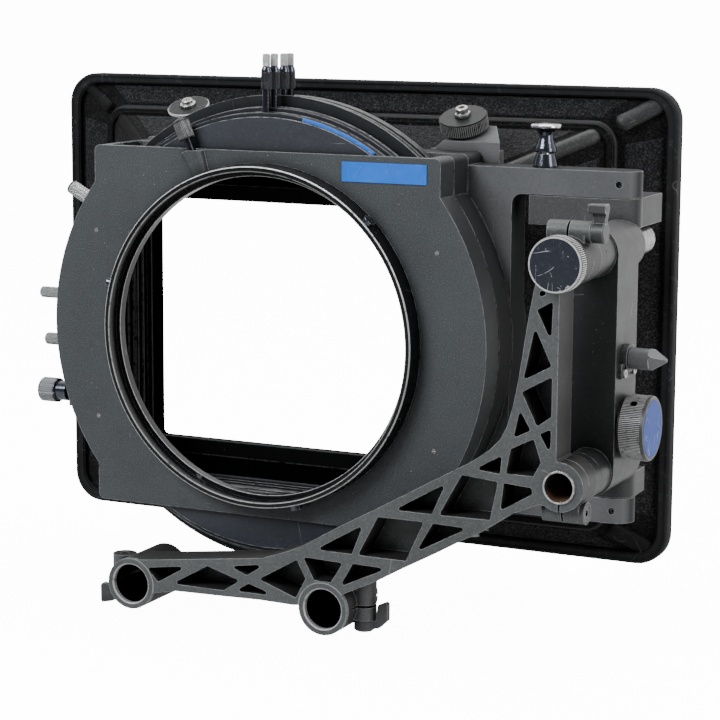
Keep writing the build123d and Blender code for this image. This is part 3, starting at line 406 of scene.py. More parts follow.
def bare_metal(name, base, rough, dirt=(0.06, 0.05, 0.045), dirt_amount=0.35, edge_highlight_and_wear=0.3):
    """Uncoated metal with dirt, darker clouds and lightened edges: a painted highlight, also
    standing for wear on the worn knurls.
    """
    g = Surface(name)
    broad = g.noise(scale=30.0, detail=4.0, rough=0.6)
    blotch = g.noise(scale=240.0, detail=5.0, rough=0.65, offset=(2.0, 7.0, 1.0))
    fine = g.noise(scale=1800.0, detail=2.0, rough=0.6)
    color = g.tint(base, dirt, g.ramp(blotch, (0.5, 0.72)), amount=dirt_amount)
    color = g.tint(color, shade(base, 0.55), g.ramp(broad, (0.45, 0.7)), amount=0.25)
    # painted highlight: edges are lightened towards near white, which on worn knurls also stands
    # for wear
    color = g.tint(color, (0.85, 0.85, 0.86), g.edge(radius=0.0004), amount=edge_highlight_and_wear)
    g.set(color=color, metal=0.97, rough=g.plus(rough - 0.06, blotch, amount=0.2),
          normal=g.bump(fine, depth=0.00008, strength=0.55, normal=g.bevel(radius=0.0003)))


def knurled(name, axis, radius, depth, top, low):
    """Knurled metal: light crests, and grooves darkened towards the low colour as painted shade.
    """
    g = Surface(name)
    distance = g.axis_distance(axis)
    crest = g.ramp_mm(distance, (radius - depth * 0.95, radius - depth * 0.40))
    dirt = g.ramp(g.noise(scale=420.0, detail=4.0, rough=0.7), (0.42, 0.62))
    # painted shade: the grooves take the dark low colour, the crests the top colour
    color = g.tint(low, g.tint(top, shade(top, 0.3), dirt, amount=0.55), crest)
    fine = g.noise(scale=1700.0, detail=2.0, rough=0.6)
    g.set(color=color, metal=g.blend(0.2, 0.7, crest), rough=g.blend(0.6, 0.34, crest),
          normal=g.bump(fine, depth=0.00005, strength=0.5))


def flock(name, base, light, sheen):
    """Short black fibres with clumps and a little lint."""
    g = Surface(name)
    fibres = g.noise(scale=1050.0, detail=3.0, rough=0.7)
    clumps = g.noise(scale=240.0, detail=4.0, rough=0.7, offset=(1.0, 2.0, 3.0))
    lint = g.times(g.patches(scale=600.0, span=(0.66, 0.74), offset=(6.0, 1.0, 2.0)),
                   g.patches(scale=25.0, span=(0.4, 0.7)))
    color = g.tint(base, light, g.ramp(fibres, (0.46, 0.66)))
    color = g.tint(color, shade(base, 0.4), g.ramp(clumps, (0.48, 0.66)), amount=0.45)
    color = g.tint(color, (0.16, 0.16, 0.165), lint, amount=0.4)
    relief = g.plus(fibres, clumps, amount=1.2)
    g.set(color=color, rough=0.95, spec=0.10, sheen=sheen, sheen_rough=0.45,
          normal=g.bump(relief, depth=0.0006, strength=0.9))


def rubber(name, base, rough, wear=0.25, spec=0.5, grain=0.0):
    """Black rubber or plastic with chalky wear and fine scratches."""
    g = Surface(name)
    broad = g.noise(scale=22.0, detail=4.0, rough=0.6)
    blotch = g.noise(scale=300.0, detail=4.0, rough=0.65)
    fine = g.noise(scale=1400.0, detail=2.0, rough=0.5)
    color = g.tint(base, shade(base, 1.7), g.ramp(broad, (0.35, 0.7)))
    if grain:
        grains = g.ramp(g.noise(scale=900.0, detail=2.0, rough=0.6), (0.48, 0.64))
        color = g.tint(color, shade(base, 4.0), grains, amount=0.6 * grain)
    color = g.tint(color, (0.11, 0.11, 0.112), g.ramp(blotch, (0.56, 0.78)), amount=wear)
    scratches = g.times(g.hair(scale=45.0, width=0.004),
                        g.patches(scale=50.0, span=(0.58, 0.63), offset=(4.0, 2.0, 7.0)))
    color = g.tint(color, (0.16, 0.16, 0.165), scratches, amount=0.35)
    relief = g.plus(fine, blotch, amount=0.7)
    g.set(color=color, rough=g.plus(rough - 0.05, blotch, amount=0.2), spec=spec,
          normal=g.bump(relief, depth=0.00008, strength=0.6, normal=g.bevel(radius=0.0006)))


def gloss(name, base, rough, scratch, light, coat, mottle=None, hair_width=1.0, chips=0.0):
    """Painted inlay or label; light is the scratch colour, mottle a colour and an amount."""
    g = Surface(name)
    broad = g.noise(scale=60.0, detail=5.0, rough=0.65)
    fine = g.noise(scale=1500.0, detail=2.0, rough=0.5)
    first = g.times(
        g.hair(scale=95.0, width=0.010 * hair_width, stretch=(0.35, 1.0, 1.2)),
        g.patches(scale=120.0, span=(0.50, 0.56), offset=(3.0, 1.0, 1.0)))
    second = g.times(
        g.hair(scale=120.0, width=0.012 * hair_width, stretch=(1.3, 1.0, 0.4),
               offset=(2.0, 8.0, 1.0)),
        g.patches(scale=140.0, span=(0.52, 0.58), offset=(7.0, 4.0, 1.0)))
    scratches = g.times(g.greatest(first, second), scratch)
    color = g.tint(base, shade(base, 0.72), g.ramp(broad, (0.3, 0.75)))
    if mottle:
        cloud = g.noise(scale=260.0, detail=6.0, rough=0.75, offset=(5.0, 5.0, 5.0))
        color = g.tint(color, mottle[0], g.ramp(cloud, (0.52, 0.66)), amount=mottle[1])
    color = g.tint(color, light, scratches)
    if chips:
        cloud = g.noise(scale=260.0, detail=3.0, rough=0.6, offset=(2.0, 5.0, 3.0))
        chip = g.times(g.dots(scale=420.0, span=(0.20, 0.12)), g.ramp(cloud, (0.56, 0.62)))
        color = g.tint(color, (0.5, 0.5, 0.52), chip, amount=chips)
    relief = g.plus(g.times(fine, 0.3), scratches, amount=-1.0)
    g.set(color=color, rough=g.blend(g.plus(rough, broad, amount=0.1), 0.55, scratches),
          coat=coat, coat_rough=0.08,
          normal=g.bump(relief, depth=0.00006, strength=0.6, normal=g.bevel(radius=0.0003)))


def tube_metal(name, tube_z, bore, rust, tone):
    """Steel guide tube parallel to Y, rusty within its bore radius (metres)."""
    g = Surface(name)
    x, _, z = g.xyz()
    across = g.math("SUBTRACT", x, TUBE_X * MM)
    up = g.math("SUBTRACT", z, tube_z * MM)
    radius = g.math("SQRT", g.plus(g.times(across, across), g.times(up, up)))
    inside = g.math("LESS_THAN", radius, bore + 0.00006)
    blotch = g.noise(scale=260.0, detail=5.0, rough=0.7)
    fine = g.noise(scale=1600.0, detail=2.0, rough=0.6)
    steel = g.tint(shade((0.30, 0.30, 0.305), tone), shade((0.09, 0.085, 0.08), tone),
                   g.ramp(blotch, (0.40, 0.62)), amount=0.7)
    brown = g.tint((0.030, 0.014, 0.007), (0.12, 0.055, 0.025), g.ramp(blotch, (0.35, 0.65)))
    brown = g.tint(brown, (0.17, 0.09, 0.045), g.ramp(fine, (0.5, 0.7)))
    # painted shade: the bottom of the bore is near black, brightening upwards
    brown = g.tint(brown, (0.004, 0.0035, 0.003), g.ramp(up, (-0.0042, -0.0015)))
    g.set(color=g.tint(steel, brown, inside, amount=rust),
          metal=g.blend(0.97, 0.1, g.times(inside, rust)),
          rough=g.blend(0.26, 0.8, g.times(inside, rust)),
          normal=g.bump(g.plus(fine, blotch), depth=0.0001, strength=0.7,
                        normal=g.bevel(radius=0.0004)))


# ------------------------------------------------------------------ anodised materials
anodised("plate_black", (0.035, 0.0395, 0.0425), light_path=True, rough=0.50,
         painted_wall_shade=((0.012, 0.013, 0.0142), 0.85), dirt=((0.022, 0.024, 0.026), 0.35),
         speck=0.45, speck_color=(0.13, 0.135, 0.14), wear=0.85, wear_radius=0.0005, dust=0.4)
anodised("disc_blueblack", (0.022, 0.025, 0.033), light_path=True, rough=0.40, speck=0.2,
         speck_color=(0.08, 0.085, 0.10), wear=0.9, wear_radius=0.0008, dust=0.2, scratch=0.4)
anodised("disc_black", (0.008, 0.0095, 0.012), light_path=True, rough=0.42, spec=0.35,
         speck=0.15, speck_color=(0.05, 0.053, 0.06), wear=0.7, dust=0.15)
ROD_HOLE_RADIUS = 9.62
anodised("truss_grey", (0.054, 0.058, 0.060), rough=0.50, grain=1100.0, grain_depth=0.000198,
         speck_color=(0.14, 0.14, 0.138), wear=0.65, dust=0.3, scratch=0.35,
         dirt=((0.040, 0.040, 0.040), 0.15), painted_wall_shade=((0.008, 0.0062, 0.0052), 0.85),
         rings=[(axis, inner, outer, -36.0, amount) for axis in ROD_AXES
                for inner, outer, amount in ((9.5, 10.15, 1.3), (12.45, 12.9, 0.6))],
         holes=[(axis, ROD_HOLE_RADIUS) for axis in ROD_AXES])
anodised("link_grey", (0.034, 0.036, 0.0375), speck=0.3, speck_color=(0.12, 0.122, 0.126),
         wear=0.55)
anodised("cap_grey", (0.100, 0.104, 0.108), rough=0.42, speck=0.3, wear=1.0, scratch=0.4)
anodised("block_grey", (0.128, 0.129, 0.134), rough=0.56, spec=0.12, light_path=True,
         painted_wall_shade=((0.05, 0.051, 0.053), 0.5), speck=0.3, speck_color=(0.16, 0.16, 0.165),
         wear=0.5, dust=0.2)
anodised("carriage_black", (0.0095, 0.0108, 0.0112), above=(58.0, (0.062, 0.062, 0.064)),
         rough=0.40, spec=0.40, speck=0.25, speck_color=(0.05, 0.052, 0.052), wear=0.55)
anodised("frame_grey", (0.090, 0.092, 0.096), rough=0.50, spec=0.16, light_path=True,
         painted_wall_shade=((0.011, 0.0118, 0.0128), 0.92), speck=0.3, speck_color=(0.10, 0.10, 0.105),
         wear=0.8, wear_radius=0.0005)
anodised("ring_black", (0.004, 0.0043, 0.005), rough=0.22, spec=0.24, wear_span=(0.05, 0.2),
         rounding=0.00012, speck=0.1, speck_color=(0.06, 0.06, 0.065), wear=0.12,
         wear_and_highlight_color=(0.66, 0.66, 0.66), wear_radius=0.0004, dust=0.2, scratch=0.2,
         rings=[(LIGHT_AXIS, 82.25, 82.8, -9.2, 0.95), (LIGHT_AXIS, 80.0, 80.55, -9.3, 0.55),
                (LIGHT_AXIS, 77.45, 77.85, -2.8, 0.8)])
anodised("tray_blueblack", (0.014, 0.0155, 0.020), light_path=True, rough=0.42, spec=0.35,
         speck=0.2, speck_color=(0.07, 0.073, 0.085), wear=0.8, wear_radius=0.0005, dust=0.2,
         cavity=(0.004, 0.5))
anodised("inner_black", (0.0014, 0.0015, 0.0017), rough=0.62, spec=0.05, speck=0.12,
         speck_color=(0.012, 0.012, 0.013), wear=0.16, dust=0.1, scratch=0.2)

KNOB_FINISH = dict(rough=0.34, speck=0.15, speck_color=(0.05, 0.05, 0.052), wear=0.12,
                   wear_and_highlight_color=(0.66, 0.66, 0.66), wear_radius=0.0002, dust=0.2,
                   rounding=0.00006, scratch=0.1)
KNOB_BLACK, DEEP_BLACK = (0.012, 0.0125, 0.013), (0.010, 0.0105, 0.011)
anodised("knob_black", KNOB_BLACK, **KNOB_FINISH)
anodised("knob_tube_black", DEEP_BLACK, rims=[(TUBE_KNOB_AXIS, 12.38, 0.85)],
         rings=[(TUBE_KNOB_AXIS, 11.45, 12.2, -48.4, 0.9)],
         valleys=[(TUBE_KNOB_AXIS, 12.3)], **KNOB_FINISH)
anodised("knob_big_black", KNOB_BLACK, rims=[(CARRIAGE_KNOB_AXIS, 14.98, 0.6)],
         valleys=[(CARRIAGE_KNOB_AXIS, 14.9)], **KNOB_FINISH)
anodised("knob_flag_black", DEEP_BLACK, rims=[(FLAG_KNOB_AXIS, 11.74, 0.45)],
         valleys=[(FLAG_KNOB_AXIS, 11.6)], spec=0.15, **dict(KNOB_FINISH, wear=0.18))
anodised("disc_flag_black", DEEP_BLACK, spec=0.15, rough=0.5, speck=0.2, wear=1.0,
         wear_and_highlight_color=(0.6, 0.6, 0.6), wear_radius=0.0005, dust=0.3,
         rims=[(FLAG_DISC_AXIS, 10.45, 0.9)])
anodised("shaft_black", (0.003, 0.004, 0.009), rough=0.12, spec=0.35, speck=0.03, wear=0.25,
         wear_and_highlight_color=(0.5, 0.5, 0.55), wear_radius=0.0002, rounding=0.0001, dust=0.1)
anodised("screw_black", (0.009, 0.0092, 0.0095), rough=0.30, speck=0.2,
         speck_color=(0.06, 0.06, 0.06), wear=0.9, wear_and_highlight_color=(0.5, 0.5, 0.5),
         wear_radius=0.0003)

# ------------------------------------------------------------------ bare metals
bare_metal("chrome_steel", (0.62, 0.62, 0.64), rough=0.13, dirt_amount=0.25)
bare_metal("chrome_dark_steel", (0.085, 0.092, 0.115), rough=0.12, dirt=(0.02, 0.022, 0.03),
           dirt_amount=0.3, edge_highlight_and_wear=0.45)
bare_metal("silver_steel", (0.44, 0.44, 0.43), rough=0.32, dirt_amount=0.55)
bare_metal("knurl_worn_steel", (0.085, 0.085, 0.085), rough=0.40, dirt=(0.010, 0.010, 0.009),
           dirt_amount=0.9, edge_highlight_and_wear=0.7)
knurled("knurl_side_screw", (SIDE_SCREW_POINT, ALONG_X), top=(0.62, 0.62, 0.62),
        low=(0.05, 0.05, 0.05), **SIDE_KNURL)
knurled("knurl_radial_screw", RADIAL_SCREW_AXIS, top=(0.85, 0.85, 0.84),
        low=(0.12, 0.12, 0.12), **RADIAL_KNURL)
knurled("knurl_ring_screw", RING_SCREW_AXIS, top=(0.34, 0.34, 0.33),
        low=(0.018, 0.018, 0.018), **RING_KNURL)
for number, (x, y, _, _) in enumerate(POSTS, 1):
    axis = ((x, y, 0), ALONG_Z)
    knurled(f"knurl_tip_{number}", axis, top=(0.95, 0.95, 0.95), low=(0.03, 0.03, 0.03),
            **TIP_KNURL)
    knurled(f"knurl_barrel_{number}", axis, top=(0.045, 0.046, 0.052),
            low=(0.002, 0.002, 0.0025), **GRIP_KNURL)
bare_metal("small_screw_steel", (0.22, 0.19, 0.16), rough=0.4, dirt=(0.07, 0.035, 0.02),
           dirt_amount=0.7)
bare_metal("bearing_bronze", (0.52, 0.36, 0.18), rough=0.34, dirt=(0.12, 0.06, 0.02))
bare_metal("spring_steel", (0.5, 0.5, 0.51), rough=0.26)

# ------------------------------------------------------------------ hood, labels and tubes
flock("hood_flock", (0.0065, 0.0066, 0.007), light=(0.042, 0.042, 0.045), sheen=0.06)
flock("hood_flock_inner", (0.003, 0.003, 0.0033), light=(0.018, 0.018, 0.019), sheen=0.04)
rubber("hood_rubber", (0.010, 0.0102, 0.0108), rough=0.62, spec=0.10)
rubber("hood_ridge", (0.010, 0.0102, 0.0106), rough=0.44, spec=0.34, grain=1.0)
rubber("hood_bead", (0.0048, 0.0049, 0.0052), rough=0.44, wear=0.10, spec=0.22, grain=0.4)
# painted shade: a darker copy of the ridge rubber, for the ridges away from the top right and
# for the step lip
rubber("hood_ridge_shaded", (0.0032, 0.0033, 0.0035), rough=0.6, wear=0.08, spec=0.10,
       grain=0.6)
rubber("black_polymer", (0.02, 0.02, 0.021), rough=0.5, wear=0.1)
gloss("label_blue", (0.0, 0.165, 0.78), rough=0.42, scratch=0.10, light=(0.30, 0.5, 0.8),
      coat=0.0)
gloss("arc_decal_blue", (0.01, 0.17, 0.80), rough=0.3, scratch=0.3, light=(0.4, 0.5, 0.6),
      coat=0.15)
gloss("knob_inlay_dark", (0.006, 0.009, 0.020), rough=0.2, scratch=0.8,
      light=(0.5, 0.52, 0.56), coat=0.25, mottle=((0.05, 0.055, 0.075), 0.35),
      hair_width=0.45, chips=0.9)
gloss("knob_inlay_blue", (0.004, 0.045, 0.30), rough=0.5, scratch=0.35,
      light=(0.45, 0.5, 0.6), coat=0.0, mottle=((0.01, 0.08, 0.40), 0.2))
tube_metal("guide_tube_bright", tube_z=TUBE_Z, bore=0.0054, rust=0.35, tone=1.0)
tube_metal("guide_tube_rusty", tube_z=-TUBE_Z, bore=0.0066, rust=1.0, tone=2.4)

# ------------------------------------------------------------------ materials of the CAD pieces
PIECES = {
    "truss_grey": "truss_bracket",
    "guide_tube_bright": "upper_guide_tube",
    "guide_tube_rusty": "lower_guide_tube",
    "link_grey": "rod_clamp_lever_left rod_clamp_lever_right upper_clamp_lever plunger_flange",
    "silver_steel": "rod_clamp_nuts tube_draw_bar lock_cam_shaft plunger_flange_screws",
    "screw_black": "lower_clamp_screw hinge_set_screws",
    "knob_tube_black": "tube_lock_knob",
    "knob_inlay_dark": "tube_lock_knob_cap",
    "carriage_black": "link_carriage",
    "bearing_bronze": "guide_liners hinge_bushes",
    "knob_big_black": "carriage_lock_knob",
    "knob_inlay_blue": "carriage_lock_knob_disc",
    "cap_grey": "plunger_cap",
    "chrome_steel": "plunger_pin hinge_pins latch_pin",
    "spring_steel": "plunger_spring latch_spring",
    "plate_black": "rear_cover divider_plate",
    "small_screw_steel": "cover_screws",
    "ring_black": "lens_ring",
    "chrome_dark_steel": "ring_screws latch_housing latch_pull_knob side_knurled_screw",
    "shaft_black": "ring_clamp_screw tray_handle_1 tray_handle_2 tray_handle_3"
                   " tray_handle_4 radial_lock_screw",
    "disc_blueblack": "stage_disc_rear",
    "disc_black": "stage_disc_front",
    "black_polymer": "stage_slip_ring",
    "tray_blueblack": "filter_tray_1 filter_tray_2",
    "inner_black": "filter_tray_3 filter_tray_4 aperture_mask",
    "frame_grey": "main_frame",
    "knurl_worn_steel": "stage_lock_screw_upper stage_lock_screw_lower",
    "label_blue": "label_plate",
    "block_grey": "hood_mount",
    "hood_flock_inner": "hood_funnel hood_brim",
    "hood_rubber": "hood_rim",
    "knob_flag_black": "flag_knob_right",
    "disc_flag_black": "flag_disc_left",
    "knob_black": "flag_disc_lower_right flag_disc_lower_left",
}
MATERIAL_OF = {piece: material for material, pieces in PIECES.items()
               for piece in pieces.split()}
for name, piece in NODES.items():
    piece.data.materials.clear()
    piece.data.materials.append(MATERIALS[MATERIAL_OF[name]])


# ------------------------------------------------------------------ mesh helpers
def new_object(name, verts, faces, material, body, smooth=False):
    mesh = bpy.data.meshes.new(name)
    mesh.from_pydata([tuple(v) for v in verts], [], faces)
    work = bmesh.new()
    work.from_mesh(mesh)
    bmesh.ops.recalc_face_normals(work, faces=work.faces)
    work.to_mesh(mesh)
    work.free()
    mesh.update()
    if smooth:
        for polygon in mesh.polygons:
            polygon.use_smooth = True
    piece = bpy.data.objects.new(name, mesh)
    bpy.context.scene.collection.objects.link(piece)
    piece.data.materials.append(MATERIALS[material])
    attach(piece, body)
    return piece


def axis_frame(direction):
    """Unit direction and two unit vectors square to it."""
    along = Vector(direction).normalized()
    helper = Vector((0, 0, 1)) if abs(along.z) < 0.9 else Vector((1, 0, 0))
    side = along.cross(helper).normalized()
    return along, side, along.cross(side).normalized()


def axis_placer(axis):
    """Function from radius, angle and height (mm) about an axis to a point in metres."""
    origin = Vector(axis[0]) * MM
    along, side, other = axis_frame(axis[1])

    def place(radius, angle, height):
        out = (side * cos(angle) + other * sin(angle)) * radius
        return origin + (along * height + out) * MM

    return place


def knurl(name, axis, z0, z1, radius, depth, count, material, body, slot="knurled_silver",
          chamfer=0.3, wall=0.35, pitch_ratio=1.4):
    """A sleeve with rows of small pyramids between two crossing sets of grooves."""
    place = axis_placer(axis)
    pitch = 2 * pi * radius / count * pitch_ratio
    around = count * 4
    steps = max(6, int((z1 - z0) / pitch * 4) + 1)
    angles = [2 * pi * k / around for k in range(around)]
    verts, faces = [], []

    def triangle(x):
        part = x - floor(x)
        return min(part, 1 - part) * 2

    for i in range(steps + 1):
        z = z0 + (z1 - z0) * i / steps
        from_end = min(z - z0, z1 - z)
        for angle in angles:
            turn = count * angle / (2 * pi)
            height = min(triangle(turn + z / pitch), triangle(turn - z / pitch)) * depth
            r = radius - depth + height
            if from_end < chamfer:
                r = min(r, radius - depth * 1.2 + from_end * 0.6)
            verts.append(place(r, angle, z))
    inner = len(verts)
    for z in (z0, z1):
        verts += [place(radius - depth - wall, angle, z) for angle in angles]
    for i in range(steps):
        for a in range(around):
            b = (a + 1) % around
            row, following = i * around, (i + 1) * around
            faces.append([row + a, row + b, following + b, following + a])
    last = steps * around
    for a in range(around):
        b = (a + 1) % around
        faces.append([a, b, inner + b, inner + a][::-1])
        faces.append([last + a, last + b, inner + around + b, inner + around + a])
        faces.append([inner + a, inner + b, inner + around + b, inner + around + a][::-1])
    return new_object(name, verts, faces, material, body)


def lathe(name, axis, profile, material, body, segments=40):
    """Turned piece from (radius, height) pairs in mm; a point on the axis is one vertex."""
    place = axis_placer(axis)
    verts, faces, rows = [], [], []
    for radius, z in profile:
        count = 1 if radius < 1e-6 else segments
        rows.append(range(len(verts), len(verts) + count))
        verts += [place(radius, 2 * pi * k / segments, z) for k in range(count)]
    for a, b in zip(rows, rows[1:]):
        if len(a) == 1 and len(b) == 1:
            continue
        for k in range(segments):
            following = (k + 1) % segments
            if len(a) == 1:
                faces.append([a[0], b[k], b[following]])
            elif len(b) == 1:
                faces.append([a[k], a[following], b[0]][::-1])
            else:
                faces.append([a[k], a[following], b[following], b[k]])
    piece = new_object(name, verts, faces, material, body, smooth=True)
    piece.data.set_sharp_from_angle(angle=radians(32))


def hexagon(name, axis, radius, z0, z1, material, body):
    """Six-sided nut with small chamfers."""
    place = axis_placer(axis)
    verts = []
    for z, scale in ((z0, 0.94), (z0 + 0.25, 1.0), (z1 - 0.25, 1.0), (z1, 0.93)):
        verts += [place(radius * scale, pi / 3 * k, z) for k in range(6)]
    rows = [list(range(start, start + 6)) for start in (0, 6, 12, 18)]
    faces = [rows[0][::-1], rows[-1]]
    for a, b in zip(rows, rows[1:]):
        for k in range(6):
            following = (k + 1) % 6
            faces.append([a[k], a[following], b[following], b[k]])
    new_object(name, verts, faces, material, body)


# ------------------------------------------------------------------ hood: felt panels
FELT_STEP = 1.25        # grid size of the felt, mm
FELT_LIFT = 0.02 * MM   # gap under the felt
FELT_THICK = 0.7 * MM
FELT_ROUGH = 0.00018    # height of the fibre bumps, metres
FELT_FREQUENCY = 1400.0
# cut-outs round the flag clamps: x from, x to, y up to
TOP_GAPS = ((65.4, 102.6, 67.6), (-82.5, -62.5, 67.6))
BOTTOM_GAPS = ((65.4, 93.6, 67.6), (-93.6, -65.4, 67.6))
# two stations of each flare: y, half width, half height
FUNNEL = ((56.02, 92.0, 76.0), (97.0, 141.5, 99.5))
BRIM = ((101.1, 143.7, 101.7), (108.5, 168.0, 114.4))
# the felt on each flare runs between these y
FUNNEL_Y = (57.5, 93.2)
BRIM_Y = (102.0, 107.6)


def flare_at(stations, y):
    """Half width and half height of a flare at y."""
    (y0, width0, height0), (y1, width1, height1) = stations
    t = (y - y0) / (y1 - y0)
    return width0 + t * (width1 - width0), height0 + t * (height1 - height0)


def felt_sheet(name, point, normal, columns, rows, covered, seed):
    """A rough top grid and a flat underside, closed along every open border."""
    verts, faces, index = [], [], {}
    keep = [[covered(i, j) for j in range(rows)] for i in range(columns)]
    shift = Vector((seed, seed * 2, seed * 3))

    def kept(i, j):
        return 0 <= i < columns and 0 <= j < rows and keep[i][j]

    def vert(i, j, top):
        if (i, j, top) not in index:
            p = point(i / columns, j / rows)
            height = FELT_LIFT
            if top and all(kept(i + a, j + b) for a in (-1, 0) for b in (-1, 0)):
                q = p * FELT_FREQUENCY + shift
                bumps = noise.noise(q) * FELT_ROUGH + noise.noise(q * 0.23) * FELT_ROUGH * 0.8
                height += FELT_THICK + bumps
            elif top:
                height += FELT_THICK * 0.25
            index[(i, j, top)] = len(verts)
            verts.append(p + normal * height)
        return index[(i, j, top)]

    for i in range(columns):
        for j in range(rows):
            if not keep[i][j]:
                continue
            corners = [(i, j), (i + 1, j), (i + 1, j + 1), (i, j + 1)]
            faces.append([vert(a, b, True) for a, b in corners])
            faces.append([vert(a, b, False) for a, b in reversed(corners)])
            for k, (di, dj) in enumerate(((0, -1), (1, 0), (0, 1), (-1, 0))):
                if not kept(i + di, j + dj):
                    p, q = corners[k], corners[(k + 1) % 4]
                    faces.append([vert(*q, True), vert(*p, True),
                                  vert(*p, False), vert(*q, False)])
    new_object(name, verts, faces, "hood_flock", "matte_box", smooth=True)


def felt_panel(name, corners, gaps, seed):
    """Felt on a flat facet; corners are two on the inner edge, then two on the outer."""
    inner0, inner1, outer0, outer1 = [Vector(p) * MM for p in corners]
    normal = (inner1 - inner0).cross(outer0 - inner0).normalized()
    middle = (inner0 + inner1 + outer0 + outer1) / 4
    outward = Vector((middle.x, 0, middle.z)).normalized() + Vector((0, -0.4, 0))
    if normal.dot(outward) < 0:
        normal = -normal
    longest = max((inner1 - inner0).length, (outer1 - outer0).length)
    columns = int(longest / (FELT_STEP * MM))
    rows = max(4, int((outer0 - inner0).length / (FELT_STEP * MM)))

    def point(u, v):
        return (inner0 * (1 - u) + inner1 * u) * (1 - v) + (outer0 * (1 - u) + outer1 * u) * v

    def covered(i, j):
        p = point((i + 0.5) / columns, (j + 0.5) / rows) / MM
        return not any(x0 < p.x < x1 and p.y < y1 for x0, x1, y1 in gaps)

    felt_sheet(name, point, normal, columns, rows, covered, seed)


def felt_flare(prefix, stations, y_range, corners, seed, top_gaps=(), bottom_gaps=()):
    """Four panels round a flare, each stopping short of the corners by the given lengths."""
    y0, y1 = y_range
    c0, c1 = corners
    (x0, z0), (x1, z1) = flare_at(stations, y0), flare_at(stations, y1)
    for s, side, gaps in ((1, "top", top_gaps), (-1, "bottom", bottom_gaps)):
        felt_panel(f"{prefix}_{side}", ((-x0 + c0, y0, s * z0), (x0 - c0, y0, s * z0),
                                        (-x1 + c1, y1, s * z1), (x1 - c1, y1, s * z1)),
                   gaps, seed + s)
    for s, side in ((1, "right"), (-1, "left")):
        felt_panel(f"{prefix}_{side}", ((s * x0, y0, -z0 + c0), (s * x0, y0, z0 - c0),
                                        (s * x1, y1, -z1 + c1), (s * x1, y1, z1 - c1)),
                   (), seed + 4.0 + s)


felt_flare("hood_felt", FUNNEL, FUNNEL_Y, corners=(8, 12.5), seed=3.0,
           top_gaps=TOP_GAPS, bottom_gaps=BOTTOM_GAPS)
felt_flare("brim_felt", BRIM, BRIM_Y, corners=(12, 18), seed=11.0)


# ------------------------------------------------------------------ hood: beads and ridges
def ellipse(radius, segments, flat=1.0):
    angles = [2 * pi * k / segments for k in range(segments)]
    return [(radius * MM * cos(a), radius * MM * flat * sin(a)) for a in angles]


def sweep(name, path, section, closed, material, up=(0, -1, 0), taper=None):
    """Sweeps a section of (sideways, up) pairs in metres along a path, as hood rubber."""
    count, size = len(path), len(section)
    verts, faces = [], []
    for i, p in enumerate(path):
        before = path[(i - 1) % count] if (closed or i > 0) else p
        after = path[(i + 1) % count] if (closed or i < count - 1) else p
        tangent = (after - before).normalized()
        side = tangent.cross(Vector(up)).normalized()
        rise = side.cross(tangent).normalized()
        scale = taper(i / (count - 1)) if taper else 1.0
        verts += [p + side * s * scale + rise * u * scale for s, u in section]
    for i in range(count if closed else count - 1):
        j = (i + 1) % count
        for k in range(size):
            following = (k + 1) % size
            faces.append([i * size + k, i * size + following,
                          j * size + following, j * size + k])
    if not closed:
        faces.append(list(range(size)))
        faces.append([(count - 1) * size + k for k in reversed(range(size))])
    new_object(name, verts, faces, material, "matte_box", smooth=True)


def bead(name, x, z, corner, y, radius, segments, material):
    """Round bead along a rounded rectangle of half width x and half height z."""
    path = []
    dx, dz = x - corner, z - corner
    for cx, cz, start in ((dx, dz, 0), (-dx, dz, 90), (-dx, -dz, 180), (dx, -dz, 270)):
        for k in range(11):
            a = radians(start + 90.0 * k / 10)
            path.append(Vector((cx + corner * cos(a), y, cz + corner * sin(a))) * MM)
    sweep(name, path, ellipse(radius, segments), True, material)


def ridge(name, start, end, section, material, up, taper):
    start, end = Vector(start) * MM, Vector(end) * MM
    path = [start.lerp(end, k / 24) for k in range(25)]
    sweep(name, path, section, False, material, up, taper)


def round_ends(t, sharpness):
    """Thickness along a ridge with rounded ends; higher sharpness shortens the ends."""
    reach = min(1.0, min(t, 1.0 - t) * sharpness)
    return 0.35 + 0.65 * sqrt(max(0.0, 1.0 - (1.0 - reach) ** 2))


def corner_ridges(sx, sz):
    """Moulded ridges on the funnel and the brim, running out along one corner."""
    tag = ("right" if sx > 0 else "left") + ("_top" if sz > 0 else "_bottom")
    # ridges away from the top right take the darker copy, as painted shade
    material = "hood_ridge" if sx > 0 and sz > 0 else "hood_ridge_shaded"

    def corner(stations, y, inset, dy):
        x, z = flare_at(stations, y)
        return (sx * (x - inset), y + dy, sz * (z - inset))

    ridge("hood_ridge_in_" + tag,
          corner(FUNNEL, FUNNEL_Y[0], inset=1.6, dy=0.4),
          corner(FUNNEL, FUNNEL_Y[1], inset=0.6, dy=3.2),
          ellipse(4.3 if sx > 0 else 3.2, 18, flat=0.72), material,
          up=(sx * 0.5, -0.7, sz * 0.5),
          taper=lambda t: (0.82 + 0.18 * t) * round_ends(t, 11.0))
    ridge("hood_ridge_out_" + tag,
          corner(BRIM, BRIM_Y[0], inset=2.6, dy=-3.0),
          corner(BRIM, BRIM_Y[1], inset=0.6, dy=1.6),
          ellipse(4.4 if sx > 0 else 3.2, 18, flat=0.66), material,
          up=(sx * 0.3, -0.9, sz * 0.3),
          taper=lambda t: round_ends(t, 8.0))


